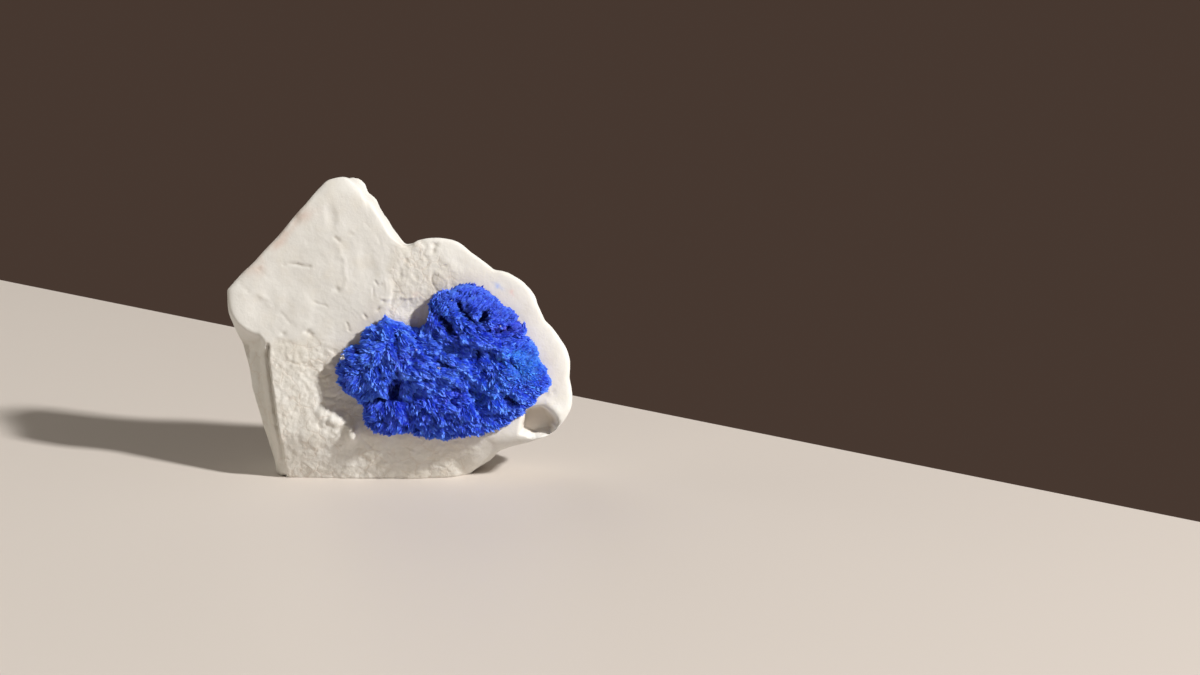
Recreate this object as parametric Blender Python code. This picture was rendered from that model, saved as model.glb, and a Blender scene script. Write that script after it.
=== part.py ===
"""Azurite rosette on a white kaolin slab.

Metres, +Z up.  +X runs along the slab and -Y is the side with the crystals.  The slab stands on a
flat base in the plane z = 0, and the middle of its bounding box is over the origin.

Each piece is a closed surface in two parameters: the angle round its middle, and the way from the
front pole out over the rim to the back pole.  All shape values below are millimetres.
"""
import bmesh
import bpy
import numpy as np

MM = 0.001

# Driving dimensions of the slab.
SLAB_CENTRE = (0.0, 38.0)
FACE_Y = -20.5            # where the crystal face would meet the base plane
FACE_LEAN = 0.16          # how far the face goes back per millimetre of height
BACK_Y = 19.5
BACK_LEAN = -0.13
MIDDLE_Y = -0.5
MIDDLE_LEAN = 0.05
THINNEST_HALF = 1.5
UNDERCUT_TOP = 16.0       # below this height the face falls back to the base
BASE_SINK = 9.0           # the outline runs this far below the base cut
BEVEL_LINE = ((-6.5, 89.8), (3.3, 76.2))
BEVEL_WIDTH = 3.2
TIP_X = -16.0             # a small facet caps the tip, round this line

# Driving dimensions of the rosette.
ROSETTE_CENTRE = (14.5, 37.5)
EDGE_STANDOFF = 3.0       # how far the crystal tips at its edge stand off the slab
VALLEY_STANDOFF = 4.0
GAP = 0.45                # clearance between the rosette and the slab

# The slab's outline, seen from the front, as (x, z).  Its front edge and its waist, half way back,
# differ along the upper left and down the right.
COMMON_OUTLINE = (
    (-1.5, 78.0), (-5.2, 84.2), (-8.1, 88.4), (-10.2, 90.0), (-10.5, 91.2),
    (-12.8, 93.6), (-53.1, 52.9), (-52.2, 49.7), (-51.4, 46.7), (-49.3, 39.4), (-47.8, 32.5),
    (-45.5, 22.0), (-43.0, 13.0), (-41.0, 5.0), (-38.5, -5.0), (-30.0, -BASE_SINK),
    (-12.0, -BASE_SINK), (4.0, -BASE_SINK), (12.0, -5.5), (20.0, -1.0),
)
SLAB_WAIST = COMMON_OUTLINE + (
    (30.0, 5.5), (42.5, 10.2), (47.4, 12.0), (50.4, 15.0), (52.3, 17.7), (54.0, 20.8),
    (54.4, 23.8), (54.2, 26.5), (53.4, 30.2), (53.7, 34.9), (52.9, 38.8), (50.7, 42.3),
    (48.4, 45.7), (45.5, 48.7), (43.2, 54.0), (41.3, 58.0), (38.4, 61.0), (33.2, 64.1),
    (29.8, 64.9), (23.0, 69.8), (18.6, 73.2), (13.5, 74.7), (6.7, 74.1), (2.8, 73.0),
    (-17.0, 94.0), (-20.6, 92.0), (-24.6, 87.6), (-35.2, 75.3), (-42.4, 67.4), (-48.6, 61.2),
    (-52.6, 58.2), (-53.6, 56.6),
)
SLAB_EDGE = COMMON_OUTLINE + (
    (31.0, 9.5), (42.9, 14.1), (47.7, 15.9), (51.0, 18.6), (53.1, 21.3), (54.7, 24.4),
    (55.1, 27.4), (54.9, 30.0), (54.1, 33.8), (54.4, 38.1), (53.6, 42.1), (51.5, 45.7),
    (49.2, 49.1), (46.4, 52.0), (44.1, 57.1), (42.3, 60.9), (39.2, 64.1), (33.9, 67.2),
    (30.4, 67.9), (23.9, 72.9), (19.5, 76.3), (14.2, 77.6), (7.1, 77.0), (3.2, 75.0),
    (-16.8, 96.3), (-21.3, 95.4), (-23.8, 93.3), (-29.5, 87.0), (-38.6, 76.6), (-44.4, 70.5),
    (-49.1, 66.1), (-51.9, 63.0), (-53.6, 60.9), (-53.5, 59.6), (-53.3, 56.6),
)

# How boxy the slab's rims are, as (angle in degrees, exponent): a high one leaves a crisp edge.
FRONT_RIM = ((-60.0, 4.0), (-40.0, 8.0), (-30.0, 18.0), (-15.0, 30.0), (85.0, 34.0),
             (95.0, 22.0), (106.0, 24.0), (113.0, 34.0), (186.0, 34.0), (205.0, 12.0),
             (235.0, 6.0), (270.0, 5.0))
BACK_RIM = ((-60.0, 3.4), (0.0, 3.4), (60.0, 3.6), (110.0, 4.5), (190.0, 4.5), (250.0, 5.0))

# The lip on the left, as (x, z): beyond it the side falls back.
LIP = (
    (-53.9, 66.0), (-53.9, 61.9), (-53.8, 58.8), (-53.4, 56.4), (-52.6, 54.3), (-51.5, 52.5),
    (-50.0, 50.5), (-47.3, 48.5), (-44.2, 47.1), (-42.5, 46.3), (-41.6, 44.6), (-41.2, 42.4),
    (-40.9, 37.0), (-39.4, 26.0), (-37.5, 12.0), (-36.5, -10.0),
)

# The blunt ridge down the face, as (x, z) from the bottom up: the face turns a little at it.
RIDGE = ((25.0, 20.0), (24.5, 52.0), (21.5, 66.0), (14.5, 76.0), (12.0, 80.0))

# The rosette's outline in the same view, anticlockwise from the right.
ROSETTE_OUTLINE = (
    (48.0, 33.5), (46.6, 37.6), (45.1, 39.8), (43.5, 43.9), (42.6, 46.1), (40.1, 48.0),
    (40.6, 50.0), (38.2, 52.0), (37.2, 55.0), (33.8, 57.5), (31.4, 59.3), (27.9, 61.9),
    (23.5, 63.3), (18.9, 63.0), (16.7, 62.6), (12.6, 60.5), (10.6, 58.2), (10.6, 54.8),
    (9.6, 51.8), (7.5, 50.3), (4.5, 50.3), (1.8, 51.0), (-1.6, 52.4), (-3.9, 53.3),
    (-6.6, 51.2), (-9.5, 50.0), (-11.6, 45.0), (-15.4, 43.4), (-17.0, 41.9), (-19.0, 37.6),
    (-18.7, 33.6), (-17.2, 30.6), (-13.3, 28.4), (-10.9, 25.3), (-10.4, 22.0), (-8.8, 19.0),
    (-5.5, 17.2), (-2.0, 17.0), (0.9, 17.9), (8.7, 16.1), (18.1, 16.0), (27.5, 17.8),
    (35.3, 20.9), (37.8, 22.8), (42.9, 27.1), (46.3, 30.4),
)

# How boxy the rosette's rim is, as (angle in degrees, exponent).
ROSETTE_RIM = ((0.0, 5.0), (120.0, 5.0), (175.0, 3.4), (250.0, 3.4), (300.0, 5.0))

# The rosette's lobes, as (x, z, half width, half height, how far it stands out).
LOBES = (
    (25.0, 53.0, 16.0, 12.5, 10.5),
    (-4.0, 40.0, 15.5, 15.0, 9.5),
    (12.5, 38.5, 13.0, 11.0, 9.0),
    (36.0, 36.5, 13.0, 13.5, 10.0),
    (-3.0, 24.5, 8.0, 8.0, 8.0),
    (18.5, 25.5, 17.5, 10.0, 8.0),
)


def smooth_max(a, b, width):
    """The larger of two values, with the crease between them rounded over about the width."""
    return 0.5 * (a + b + np.sqrt((a - b) ** 2 + width ** 2))


def smooth_min(a, b, width):
    """The smaller of two values, with the crease between them rounded."""
    return -smooth_max(-a, -b, width)


def beyond_line(x, z, start, end):
    """Signed distance from the line start-end, positive to the left of its direction."""
    along = np.array(end) - np.array(start)
    along = along / np.hypot(*along)
    return (z - start[1]) * along[0] - (x - start[0]) * along[1]


def path_distance(x, z, path):
    """Distance to a path of straight runs: the least of the distances to its runs."""
    best = np.full(np.shape(x), np.inf)
    for start, end in zip(path, path[1:]):
        run_x, run_z = end[0] - start[0], end[1] - start[1]
        along = (x - start[0]) * run_x + (z - start[1]) * run_z
        share = np.clip(along / (run_x ** 2 + run_z ** 2), 0.0, 1.0)
        best = np.minimum(best, np.hypot(x - start[0] - share * run_x, z - start[1] - share * run_z))
    return best


def beyond_lip(x, z):
    """Signed distance to the lip, positive on its left."""
    lip = np.array(LIP[::-1])
    left_of = np.interp(z, lip[:, 1], lip[:, 0]) - x
    return np.sign(left_of) * path_distance(x, z, LIP)


def front_face(x, z):
    """The y of the crystal face: a broad leaning face with a bevel, a tip and an undercut."""
    lean = FACE_Y + FACE_LEAN * z
    ridge = np.array(RIDGE)
    off_ridge = x - np.interp(z, ridge[:, 1], ridge[:, 0])
    face = smooth_max(lean - 0.04 * off_ridge, lean + 0.06 * off_ridge, 0.5)

    # A narrow bevel follows the right edge of the peak.
    bevel = smooth_min(beyond_line(x, z, *BEVEL_LINE), BEVEL_WIDTH, 0.5)
    past = np.clip((x - 2.0) / 4.0, 0.0, 1.0)
    on_peak = np.clip((z - 70.0) / 6.0, 0.0, 1.0) * (1.0 - past * past * (3.0 - 2.0 * past))
    face = face + 1.2 * on_peak * smooth_max(bevel, 0.0, 0.4)

    off_tip = np.minimum(np.abs(x - TIP_X), 8.0)
    face = face + 0.16 * smooth_max(z - 91.9 + 0.04 * off_tip ** 2, 0.0, 0.3)

    return face + 0.5 * smooth_max(UNDERCUT_TOP - z, 0.0, 1.5)


def back_face(x, z):
    """The y of the back: fracture planes that meet in blunt ridges."""
    lean = BACK_Y + BACK_LEAN * z
    faces = (
        lean + 1.0 + 0.22 * (x + 22.0) - 0.10 * (z - 50.0),
        lean + 2.0 - 0.30 * (x - 18.0) + 0.05 * (z - 40.0),
        lean + 0.5 - 0.12 * (x - 5.0) - 0.20 * (z - 52.0),
        BACK_Y - 7.0 + 0.55 * z,
    )
    back = lean - 0.04 * (x + 10.0)
    for face in faces:
        back = smooth_min(back, face, 0.5)
    return back


def slab_sheet(x, z, depth, side):
    """The slab's y on its front (side -1) or back (side 1), closing to the middle at the rim.

    On the front, the left side falls back beyond the lip.
    """
    middle = MIDDLE_Y + MIDDLE_LEAN * z
    if side < 0.0:
        face = front_face(x, z) + 1.6 * smooth_max(beyond_lip(x, z), 0.0, 0.25)
    else:
        face = back_face(x, z)
    half = np.maximum(side * (face - middle), THINNEST_HALF)
    return middle + side * half * depth


def lobe_height(x, z):
    """How far the rosette stands out: rounded lobes joined by soft valleys."""
    height = np.full_like(x, VALLEY_STANDOFF)
    for lobe_x, lobe_z, half_width, half_height, rise in LOBES:
        off = ((x - lobe_x) / half_width) ** 2 + ((z - lobe_z) / half_height) ** 2
        dome = rise * np.sqrt(np.clip(1.0 - 0.78 * off, 0.0, None))
        height = smooth_max(height, dome, 1.4)
    return height


def rosette_sheet(x, z, depth, side):
    """The rosette's y: its lobes (side -1), or its inner face just clear of the slab (side 1)."""
    reach = lobe_height(x, z) if side < 0.0 else GAP
    return front_face(x, z) - EDGE_STANDOFF - (reach - EDGE_STANDOFF) * depth


def closed_spline(angles, values, at):
    """A smooth closed curve through values at rising angles, read at other angles (radians).

    A knot's slope is the harmonic mean of the slopes beside it, or level where they differ in
    sign, so the curve never swings past its knots.
    """
    turn = 2.0 * np.pi
    knots = np.concatenate((angles[-2:] - turn, angles, angles[:2] + turn))
    heights = np.concatenate((values[-2:], values, values[:2]))
    rises = np.diff(heights) / np.diff(knots)
    before, after = rises[:-1], rises[1:]
    slopes = np.zeros_like(heights)
    slopes[1:-1] = np.where(before * after > 0.0, 2.0 * before * after / (before + after), 0.0)
    at = (at - knots[1]) % turn + knots[1]
    index = np.clip(np.searchsorted(knots, at, side="right") - 1, 0, len(knots) - 2)
    span = knots[index + 1] - knots[index]
    s = (at - knots[index]) / span
    start = (1.0 + 2.0 * s) * (1.0 - s) ** 2 * heights[index]
    end = s ** 2 * (3.0 - 2.0 * s) * heights[index + 1]
    start_slope = s * (1.0 - s) ** 2 * slopes[index] * span
    end_slope = s ** 2 * (s - 1.0) * slopes[index + 1] * span
    return start + end + start_slope + end_slope


def outline_radius(outline, centre, angle):
    """How far an outline is from its centre in each direction."""
    points = np.array(outline) - np.array(centre)
    angles = np.arctan2(points[:, 1], points[:, 0])
    order = np.argsort(angles)
    radii = np.hypot(points[:, 0], points[:, 1])
    return closed_spline(angles[order], radii[order], angle)


def rim_profile(way, exponent, face_share):
    """Radius and depth factors of a superellipse from the pole (way 0) to the rim (way 1).

    Over the face the radius grows evenly, and over the rim the depth falls evenly.
    """
    corner = 0.5 ** (1.0 / exponent)
    on_face = way <= face_share
    even = np.where(on_face, way / face_share, (1.0 - way) / (1.0 - face_share)) * corner
    other = (1.0 - even ** exponent) ** (1.0 / exponent)
    return np.where(on_face, even, other), np.where(on_face, other, even)


def shell_points(waist, edge, centre, rims, face_share, columns, sides):
    """A piece's grid of points, from the front pole over the rim to the back pole.

    As the depth of the front falls, the rim passes from the edge's outline to the waist's.  Inner
    rings lose the small bays of the outline, which belong to the rim alone.
    """
    angle = np.linspace(0.0, 2.0 * np.pi, columns, endpoint=False)
    at_waist = outline_radius(waist, centre, angle)
    at_edge = outline_radius(edge, centre, angle)
    near = range(-5, 6)

    halves = []
    for (side, rings, sheet), rim in zip(sides, rims):
        at, value = np.array(rim).T
        exponent = np.interp(np.degrees(angle), at, value, period=360.0)
        way = np.linspace(0.0, 1.0, rings)[:, None]
        radius, depth = rim_profile(way, exponent, face_share)
        outer = at_edge if side < 0.0 else at_waist
        even_reach = sum(np.roll(outer, step) for step in near) / len(near)
        reach = at_waist + (outer - at_waist) * depth
        ring_reach = even_reach + (reach - even_reach) * radius ** 4
        x = centre[0] + radius * ring_reach * np.cos(angle)
        z = centre[1] + radius * ring_reach * np.sin(angle)
        halves.append(np.stack((x, sheet(x, z, depth, side), z), axis=-1))
    front, back = halves
    return np.concatenate((front, back[-2::-1]))


def closed_mesh(name, points):
    """A closed mesh from rings of points, whose first and last rings are the poles."""
    mesh = bmesh.new()
    front = mesh.verts.new(points[0, 0] * MM)
    back = mesh.verts.new(points[-1, 0] * MM)
    loops = [[mesh.verts.new(point * MM) for point in ring] for ring in points[1:-1]]
    columns = points.shape[1]
    for column in range(columns):
        after = (column + 1) % columns
        mesh.faces.new((front, loops[0][column], loops[0][after]))
        mesh.faces.new((back, loops[-1][after], loops[-1][column]))
        for inner, outer in zip(loops, loops[1:]):
            mesh.faces.new((inner[column], outer[column], outer[after], inner[after]))
    bmesh.ops.triangulate(mesh, faces=mesh.faces[:])
    bmesh.ops.recalc_face_normals(mesh, faces=mesh.faces[:])
    data = bpy.data.meshes.new(name)
    mesh.to_mesh(data)
    mesh.free()
    piece = bpy.data.objects.new(name, data)
    bpy.context.scene.collection.objects.link(piece)
    return piece


def cut_flat_base(piece):
    """Cut a piece off at z = 0 and close the cut with one flat face."""
    mesh = bmesh.new()
    mesh.from_mesh(piece.data)
    everything = mesh.verts[:] + mesh.edges[:] + mesh.faces[:]
    cut = bmesh.ops.bisect_plane(mesh, geom=everything, dist=1e-7, plane_co=(0.0, 0.0, 0.0),
                                 plane_no=(0.0, 0.0, 1.0), clear_inner=True)
    rim = [item for item in cut["geom_cut"] if isinstance(item, bmesh.types.BMEdge)]
    bmesh.ops.edgeloop_fill(mesh, edges=rim)
    bmesh.ops.dissolve_degenerate(mesh, dist=1e-6, edges=mesh.edges[:])
    bmesh.ops.triangulate(mesh, faces=mesh.faces[:])
    bmesh.ops.recalc_face_normals(mesh, faces=mesh.faces[:])
    mesh.to_mesh(piece.data)
    mesh.free()


def plain_material(name, colour, roughness):
    """A Principled material with one colour."""
    material = bpy.data.materials.new(name)
    material.use_nodes = True
    shader = material.node_tree.nodes["Principled BSDF"]
    shader.inputs["Base Color"].default_value = (*colour, 1.0)
    shader.inputs["Roughness"].default_value = roughness
    shader.inputs["Metallic"].default_value = 0.0
    return material


def build_slab():
    """The kaolin slab, one broken stone with a flat base."""
    sides = ((-1.0, 17, slab_sheet), (1.0, 13, slab_sheet))
    points = shell_points(SLAB_WAIST, SLAB_EDGE, SLAB_CENTRE, (FRONT_RIM, BACK_RIM), 0.76, 84, sides)
    slab = closed_mesh("kaolin_matrix", points)
    cut_flat_base(slab)
    slab.data.materials.append(plain_material("kaolin", (0.72, 0.69, 0.62), 0.92))
    return slab


def build_rosette():
    """The rosette, crystals grown together in one solid that reaches their tips."""
    sides = ((-1.0, 16, rosette_sheet), (1.0, 9, rosette_sheet))
    points = shell_points(ROSETTE_OUTLINE, ROSETTE_OUTLINE, ROSETTE_CENTRE,
                          (ROSETTE_RIM, ROSETTE_RIM), 0.86, 72, sides)
    rosette = closed_mesh("azurite_rosette", points)
    rosette.data.materials.append(plain_material("azurite", (0.02, 0.06, 0.62), 0.55))
    return rosette


def centre_over_origin(pieces):
    """Move every mesh by the same amount, so that the whole box is centred over the origin."""
    corners = np.array([vertex.co for piece in pieces for vertex in piece.data.vertices])
    middle = 0.5 * (corners.min(axis=0) + corners.max(axis=0))
    for piece in pieces:
        for vertex in piece.data.vertices:
            vertex.co.x -= middle[0]
            vertex.co.y -= middle[1]


def main():
    """Clear the scene and build both pieces."""
    for item in list(bpy.data.objects):
        bpy.data.objects.remove(item)
    pieces = (build_slab(), build_rosette())
    for piece in pieces:
        piece.data.shade_smooth()
    centre_over_origin(pieces)


main()
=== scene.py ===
"""An azurite rosette on a white kaolin slab: its surfaces, finishes and studio.

The slab and the rosette are shells in two parameters, the angle round the middle and the way from
the front pole over the rim to the back pole.  Their shapes are worked out in millimetres in the
stone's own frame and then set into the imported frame, where the slab's box says.  The rosette
carries thousands of thin crystal blades, joined into one mesh for each of its lobes.
"""
from __future__ import annotations

import logging
import math
from dataclasses import dataclass

import bpy
import numpy as np
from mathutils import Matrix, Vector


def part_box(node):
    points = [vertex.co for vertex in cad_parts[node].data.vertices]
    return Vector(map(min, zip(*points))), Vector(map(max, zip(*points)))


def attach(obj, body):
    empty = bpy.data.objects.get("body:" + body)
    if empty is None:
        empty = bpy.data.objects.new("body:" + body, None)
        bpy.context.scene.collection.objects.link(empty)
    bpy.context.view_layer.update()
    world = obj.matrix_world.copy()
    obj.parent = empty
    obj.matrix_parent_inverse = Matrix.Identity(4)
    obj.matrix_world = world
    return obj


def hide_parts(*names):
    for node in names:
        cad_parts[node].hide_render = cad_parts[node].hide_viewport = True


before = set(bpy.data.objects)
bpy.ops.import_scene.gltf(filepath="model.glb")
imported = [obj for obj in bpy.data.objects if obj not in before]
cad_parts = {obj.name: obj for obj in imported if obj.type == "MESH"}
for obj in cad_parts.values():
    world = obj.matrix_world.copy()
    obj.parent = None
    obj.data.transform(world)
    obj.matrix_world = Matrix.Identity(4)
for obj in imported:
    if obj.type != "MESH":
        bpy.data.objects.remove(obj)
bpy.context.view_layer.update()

LOG = logging.getLogger("azurite")
MM = 0.001
BODY = "root"
Array = np.ndarray
Point = tuple[float, float]
Colour = tuple[float, float, float]
BAY_WINDOW = 5.0 / 84.0     # the share of a turn over which an outline's bays are averaged out
TURN = np.array(((0.0, 0.8, 0.6), (-0.8, 0.36, -0.48), (-0.6, -0.48, 0.64)))


# ---------------------------------------------------------------------------------------------
# Arithmetic on whole arrays
# ---------------------------------------------------------------------------------------------


def smooth_max(a: Array, b: Array | float, width: float) -> Array:
    """The larger of two arrays, with the crease between them rounded over about the width."""
    return 0.5 * (a + b + np.sqrt((a - b) ** 2 + width ** 2))


def smooth_min(a: Array, b: Array | float, width: float) -> Array:
    """The smaller of two arrays, with the crease between them rounded."""
    return -smooth_max(-a, -np.asarray(b), width)


def ease(value: Array, low: float, high: float) -> Array:
    """A smooth step: 0 below low, 1 above high, and 3t^2 - 2t^3 between them."""
    t = np.clip((value - low) / (high - low), 0.0, 1.0)
    return t * t * (3.0 - 2.0 * t)


def unit(vectors: Array) -> Array:
    """Vectors scaled to length 1, along the last axis."""
    return vectors / np.maximum(np.linalg.norm(vectors, axis=-1, keepdims=True), 1e-12)


def cell_value(cell: Array, seed: int) -> Array:
    """A repeatable value from 0 to 1 for each whole-number cell, by mixing the bits of its place.

    Args:
        cell: Whole numbers, with x, y and z along the last axis.
        seed: Which of many unrelated patterns to read.

    Returns:
        One value for each cell.
    """
    lanes = cell.astype(np.int64).astype(np.uint32)
    mixed = lanes[..., 0] * np.uint32(0x8DA6B343) ^ lanes[..., 1] * np.uint32(0xD8163841)
    mixed = mixed ^ lanes[..., 2] * np.uint32(0xCB1AB31F)
    mixed = mixed + np.full_like(mixed, (seed * 0x9E3779B1) & 0xFFFFFFFF)
    for shift, factor in ((15, 0x2C1B3C6D), (12, 0x297A2D39)):
        mixed = (mixed ^ (mixed >> np.uint32(shift))) * np.uint32(factor)
    mixed = mixed ^ (mixed >> np.uint32(15))
    return mixed / 2.0 ** 32


def noise(points: Array, size: float, seed: int) -> Array:
    """Value noise from -1 to 1: cell corner values blended by a fifth-power step.

    Args:
        points: Places, with x, y and z along the last axis.
        size: The size of a cell, in the units of the points.
        seed: Which pattern to read.

    Returns:
        One value for each point.
    """
    scaled = points / size
    cell = np.floor(scaled)
    part = scaled - cell
    part = part ** 3 * (part * (part * 6.0 - 15.0) + 10.0)
    total = np.zeros(points.shape[:-1])
    for corner in np.ndindex(2, 2, 2):
        share = np.prod(np.where(np.array(corner) == 1, part, 1.0 - part), axis=-1)
        total += share * cell_value(cell + np.array(corner), seed)
    return 2.0 * total - 1.0


def cloud(points: Array, size: float, octaves: int, seed: int) -> Array:
    """Several sizes of noise added together, each half the size and half the height of the last.

    Each size is turned from the last, so that no rows of cells show.

    Args:
        points: Places, with x, y and z along the last axis.
        size: The size of the largest cells, in the units of the points.
        octaves: How many sizes are added.
        seed: Which pattern to read.

    Returns:
        One value for each point, mostly between -1.5 and 1.5.
    """
    total = np.zeros(points.shape[:-1])
    for octave in range(octaves):
        points = points @ TURN
        total += 0.5 ** octave * noise(points, size / 2.0 ** octave, seed + octave)
    return total


def terraces(value: Array, step: float, edge: float) -> Array:
    """A smooth value turned into flat treads with short risers, as a flaking stone breaks.

    Args:
        value: A smooth value.
        step: The height of a riser.
        edge: The share of a tread that its riser takes up.

    Returns:
        The stepped value.
    """
    level = value / step
    tread = np.floor(level)
    return step * (tread + ease(level - tread, 1.0 - edge, 1.0))


def facets(points: Array, size: float, tilt: float, seed: int) -> Array:
    """Flat fracture facets: each cell of a scattered pattern is a plane with its own tilt.

    The height is the tilt times the run from the cell's middle along the cell's own direction,
    and it is blended with the next cell's over a narrow border.

    Args:
        points: Places, with x, y and z along the last axis.
        size: The size of a cell, in the units of the points.
        tilt: How steep the steepest facets are.
        seed: Which pattern to read.

    Returns:
        The height at each point.
    """
    scaled = points / size
    base = np.floor(scaled)
    nearest = np.full(points.shape[:-1], np.inf)
    second = np.full(points.shape[:-1], np.inf)
    height = np.zeros(points.shape[:-1])
    other = np.zeros(points.shape[:-1])
    for offset in np.ndindex(3, 3, 3):
        cell = base + np.array(offset) - 1.0
        middle = cell + np.stack([cell_value(cell, seed + lane) for lane in range(3)], axis=-1)
        slope = np.stack([cell_value(cell, seed + 3 + lane) for lane in range(3)], axis=-1) - 0.5
        away = scaled - middle
        distance = np.linalg.norm(away, axis=-1)
        rise = np.sum(away * slope, axis=-1)
        closer = distance < nearest
        beside = ~closer & (distance < second)
        other = np.where(closer, height, np.where(beside, rise, other))
        second = np.where(closer, nearest, np.where(beside, distance, second))
        height = np.where(closer, rise, height)
        nearest = np.where(closer, distance, nearest)
    share = 0.5 + 0.5 * ease(second - nearest, 0.0, 0.12)
    return tilt * size * (share * height + (1.0 - share) * other)


def path_distance(x: Array, z: Array, path: tuple[Point, ...]) -> Array:
    """Distance to a path of straight runs: the least of the distances to its runs.

    Each run's distance is measured to its nearest point, held within the run's ends.

    Args:
        x: Distances to the right of the stone's middle.
        z: Heights.
        path: The path's points, as (x, z).

    Returns:
        One distance for each place.
    """
    best = np.full(x.shape, np.inf)
    for (start_x, start_z), (end_x, end_z) in zip(path, path[1:]):
        run_x, run_z = end_x - start_x, end_z - start_z
        length = run_x ** 2 + run_z ** 2
        share = np.clip(((x - start_x) * run_x + (z - start_z) * run_z) / length, 0.0, 1.0)
        best = np.minimum(best, np.hypot(x - start_x - share * run_x, z - start_z - share * run_z))
    return best


def beyond_line(x: Array, z: Array, start: Point, end: Point) -> Array:
    """Signed distance from the line start-end, positive to the left of its direction.

    Args:
        x: Distances to the right of the stone's middle.
        z: Heights.
        start: A point on the line, as (x, z).
        end: A later point on it.

    Returns:
        One distance for each place.
    """
    run_x, run_z = end[0] - start[0], end[1] - start[1]
    length = math.hypot(run_x, run_z)
    return ((z - start[1]) * run_x - (x - start[0]) * run_z) / length


def closed_curve(angles: Array, values: Array, at: Array) -> Array:
    """A smooth closed curve through values at rising angles, read at other angles (radians).

    Each stretch is a cubic.  A knot's slope is the harmonic mean of the slopes beside it, or level
    where they differ in sign, so the curve never swings past its knots.

    Args:
        angles: The knots' angles, rising.
        values: The value at each knot.
        at: The angles to read.

    Returns:
        The curve's value at each angle read.
    """
    turn = 2.0 * np.pi
    knots = np.concatenate((angles[-2:] - turn, angles, angles[:2] + turn))
    heights = np.concatenate((values[-2:], values, values[:2]))
    rises = np.diff(heights) / np.diff(knots)
    before, after = rises[:-1], rises[1:]
    slopes = np.zeros_like(heights)
    same = before * after > 0.0
    slopes[1:-1][same] = 2.0 * (before * after)[same] / (before + after)[same]
    at = (at - knots[1]) % turn + knots[1]
    index = np.clip(np.searchsorted(knots, at, side="right") - 1, 0, len(knots) - 2)
    span = knots[index + 1] - knots[index]
    s = (at - knots[index]) / span
    ends = (1.0 + 2.0 * s) * (1.0 - s) ** 2 * heights[index]
    ends += s ** 2 * (3.0 - 2.0 * s) * heights[index + 1]
    ends += s * (1.0 - s) ** 2 * slopes[index] * span
    return ends + s ** 2 * (s - 1.0) * slopes[index + 1] * span


# ---------------------------------------------------------------------------------------------
# Shells and meshes
# ---------------------------------------------------------------------------------------------


@dataclass(frozen=True)
class Outline:
    """A closed outline in the x-z plane, as points round a middle, in millimetres."""

    centre: Point
    points: tuple[Point, ...]

    def reach(self, angle: Array) -> Array:
        """The distance from the middle to the outline in each direction.

        Args:
            angle: Directions from the middle, in radians.

        Returns:
            One distance for each direction.
        """
        away = np.array(self.points) - np.array(self.centre)
        angles = np.arctan2(away[:, 1], away[:, 0])
        order = np.argsort(angles)
        return closed_curve(angles[order], np.hypot(*away[order].T), angle)


@dataclass
class Shell:
    """A closed grid of points: rows run from the front pole to the back pole, columns go round.

    Attributes:
        x: Distance to the right of the stone's middle.
        z: Height.
        radius: How far out a row is, from 0 at a pole to 1 at the rim.
        depth: How far a row keeps its face's full depth, from 1 at a pole to 0 at the rim.
        side: -1 in front and 1 behind.
    """

    x: Array
    z: Array
    radius: Array
    depth: Array
    side: Array

    @classmethod
    def around(cls, waist: Outline, edge: Outline, rims: tuple[tuple[Point, ...], ...],
               face_share: float, columns: int, rows: tuple[int, int]) -> "Shell":
        """The rows of a shell between its front edge, its waist and its back.

        A row's radius and depth lie on a superellipse.  Over the face the radius grows evenly,
        and over the rim the depth falls evenly.  As the depth of the front falls, the rim passes
        from the edge's outline to the waist's.  Inner rows lose the small bays of the outline.

        Args:
            waist: The outline half way from front to back.
            edge: The outline of the front edge, before the edge is rounded over.
            rims: How boxy the front rim and the back rim are, as (angle in degrees, exponent).
            face_share: The share of the rows that lie on the face.
            columns: How many points go round.
            rows: How many rows the front and the back have.

        Returns:
            The shell.
        """
        angle = np.linspace(0.0, 2.0 * np.pi, columns, endpoint=False)
        at_waist, at_edge = waist.reach(angle), edge.reach(angle)
        half_window = round(columns * BAY_WINDOW)
        window = np.ones(2 * half_window + 1) / (2 * half_window + 1)

        halves = []
        for side, count, rim in zip((-1.0, 1.0), rows, rims):
            at, value = np.array(rim).T
            exponent = np.interp(np.degrees(angle), at, value, period=360.0)
            corner = 0.5 ** (1.0 / exponent)
            way = np.linspace(0.0, 1.0, count)[:, None]
            on_face = way <= face_share
            even = np.where(on_face, way / face_share, (1.0 - way) / (1.0 - face_share)) * corner
            other = (1.0 - even ** exponent) ** (1.0 / exponent)
            radius = np.where(on_face, even, other)
            depth = np.where(on_face, other, even)
            face_reach = at_edge if side < 0.0 else at_waist
            wrapped = np.concatenate((face_reach[-half_window:], face_reach,
                                      face_reach[:half_window]))
            even_reach = np.convolve(wrapped, window, mode="valid")
            reach = at_waist + (face_reach - at_waist) * depth
            ring = even_reach + (reach - even_reach) * radius ** 4
            x = waist.centre[0] + radius * ring * np.cos(angle)
            z = waist.centre[1] + radius * ring * np.sin(angle)
            halves.append(np.stack((x, z, radius, depth, np.full_like(x, side))))
        return cls(*np.concatenate((halves[0], halves[1][:, -2::-1]), axis=1))


def grid_normals(points: Array) -> Array:
    """Outward normals of a closed grid: its way along a column crossed with its way round.

    Args:
        points: The grid, with x, y and z along the last axis.

    Returns:
        One unit vector for each point.
    """
    along = np.gradient(points, axis=0)
    around = np.roll(points, -1, axis=1) - np.roll(points, 1, axis=1)
    normals = np.cross(along, around)
    normals[0] = normals[1].mean(axis=0)
    normals[-1] = normals[-2].mean(axis=0)
    return unit(normals)


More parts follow.
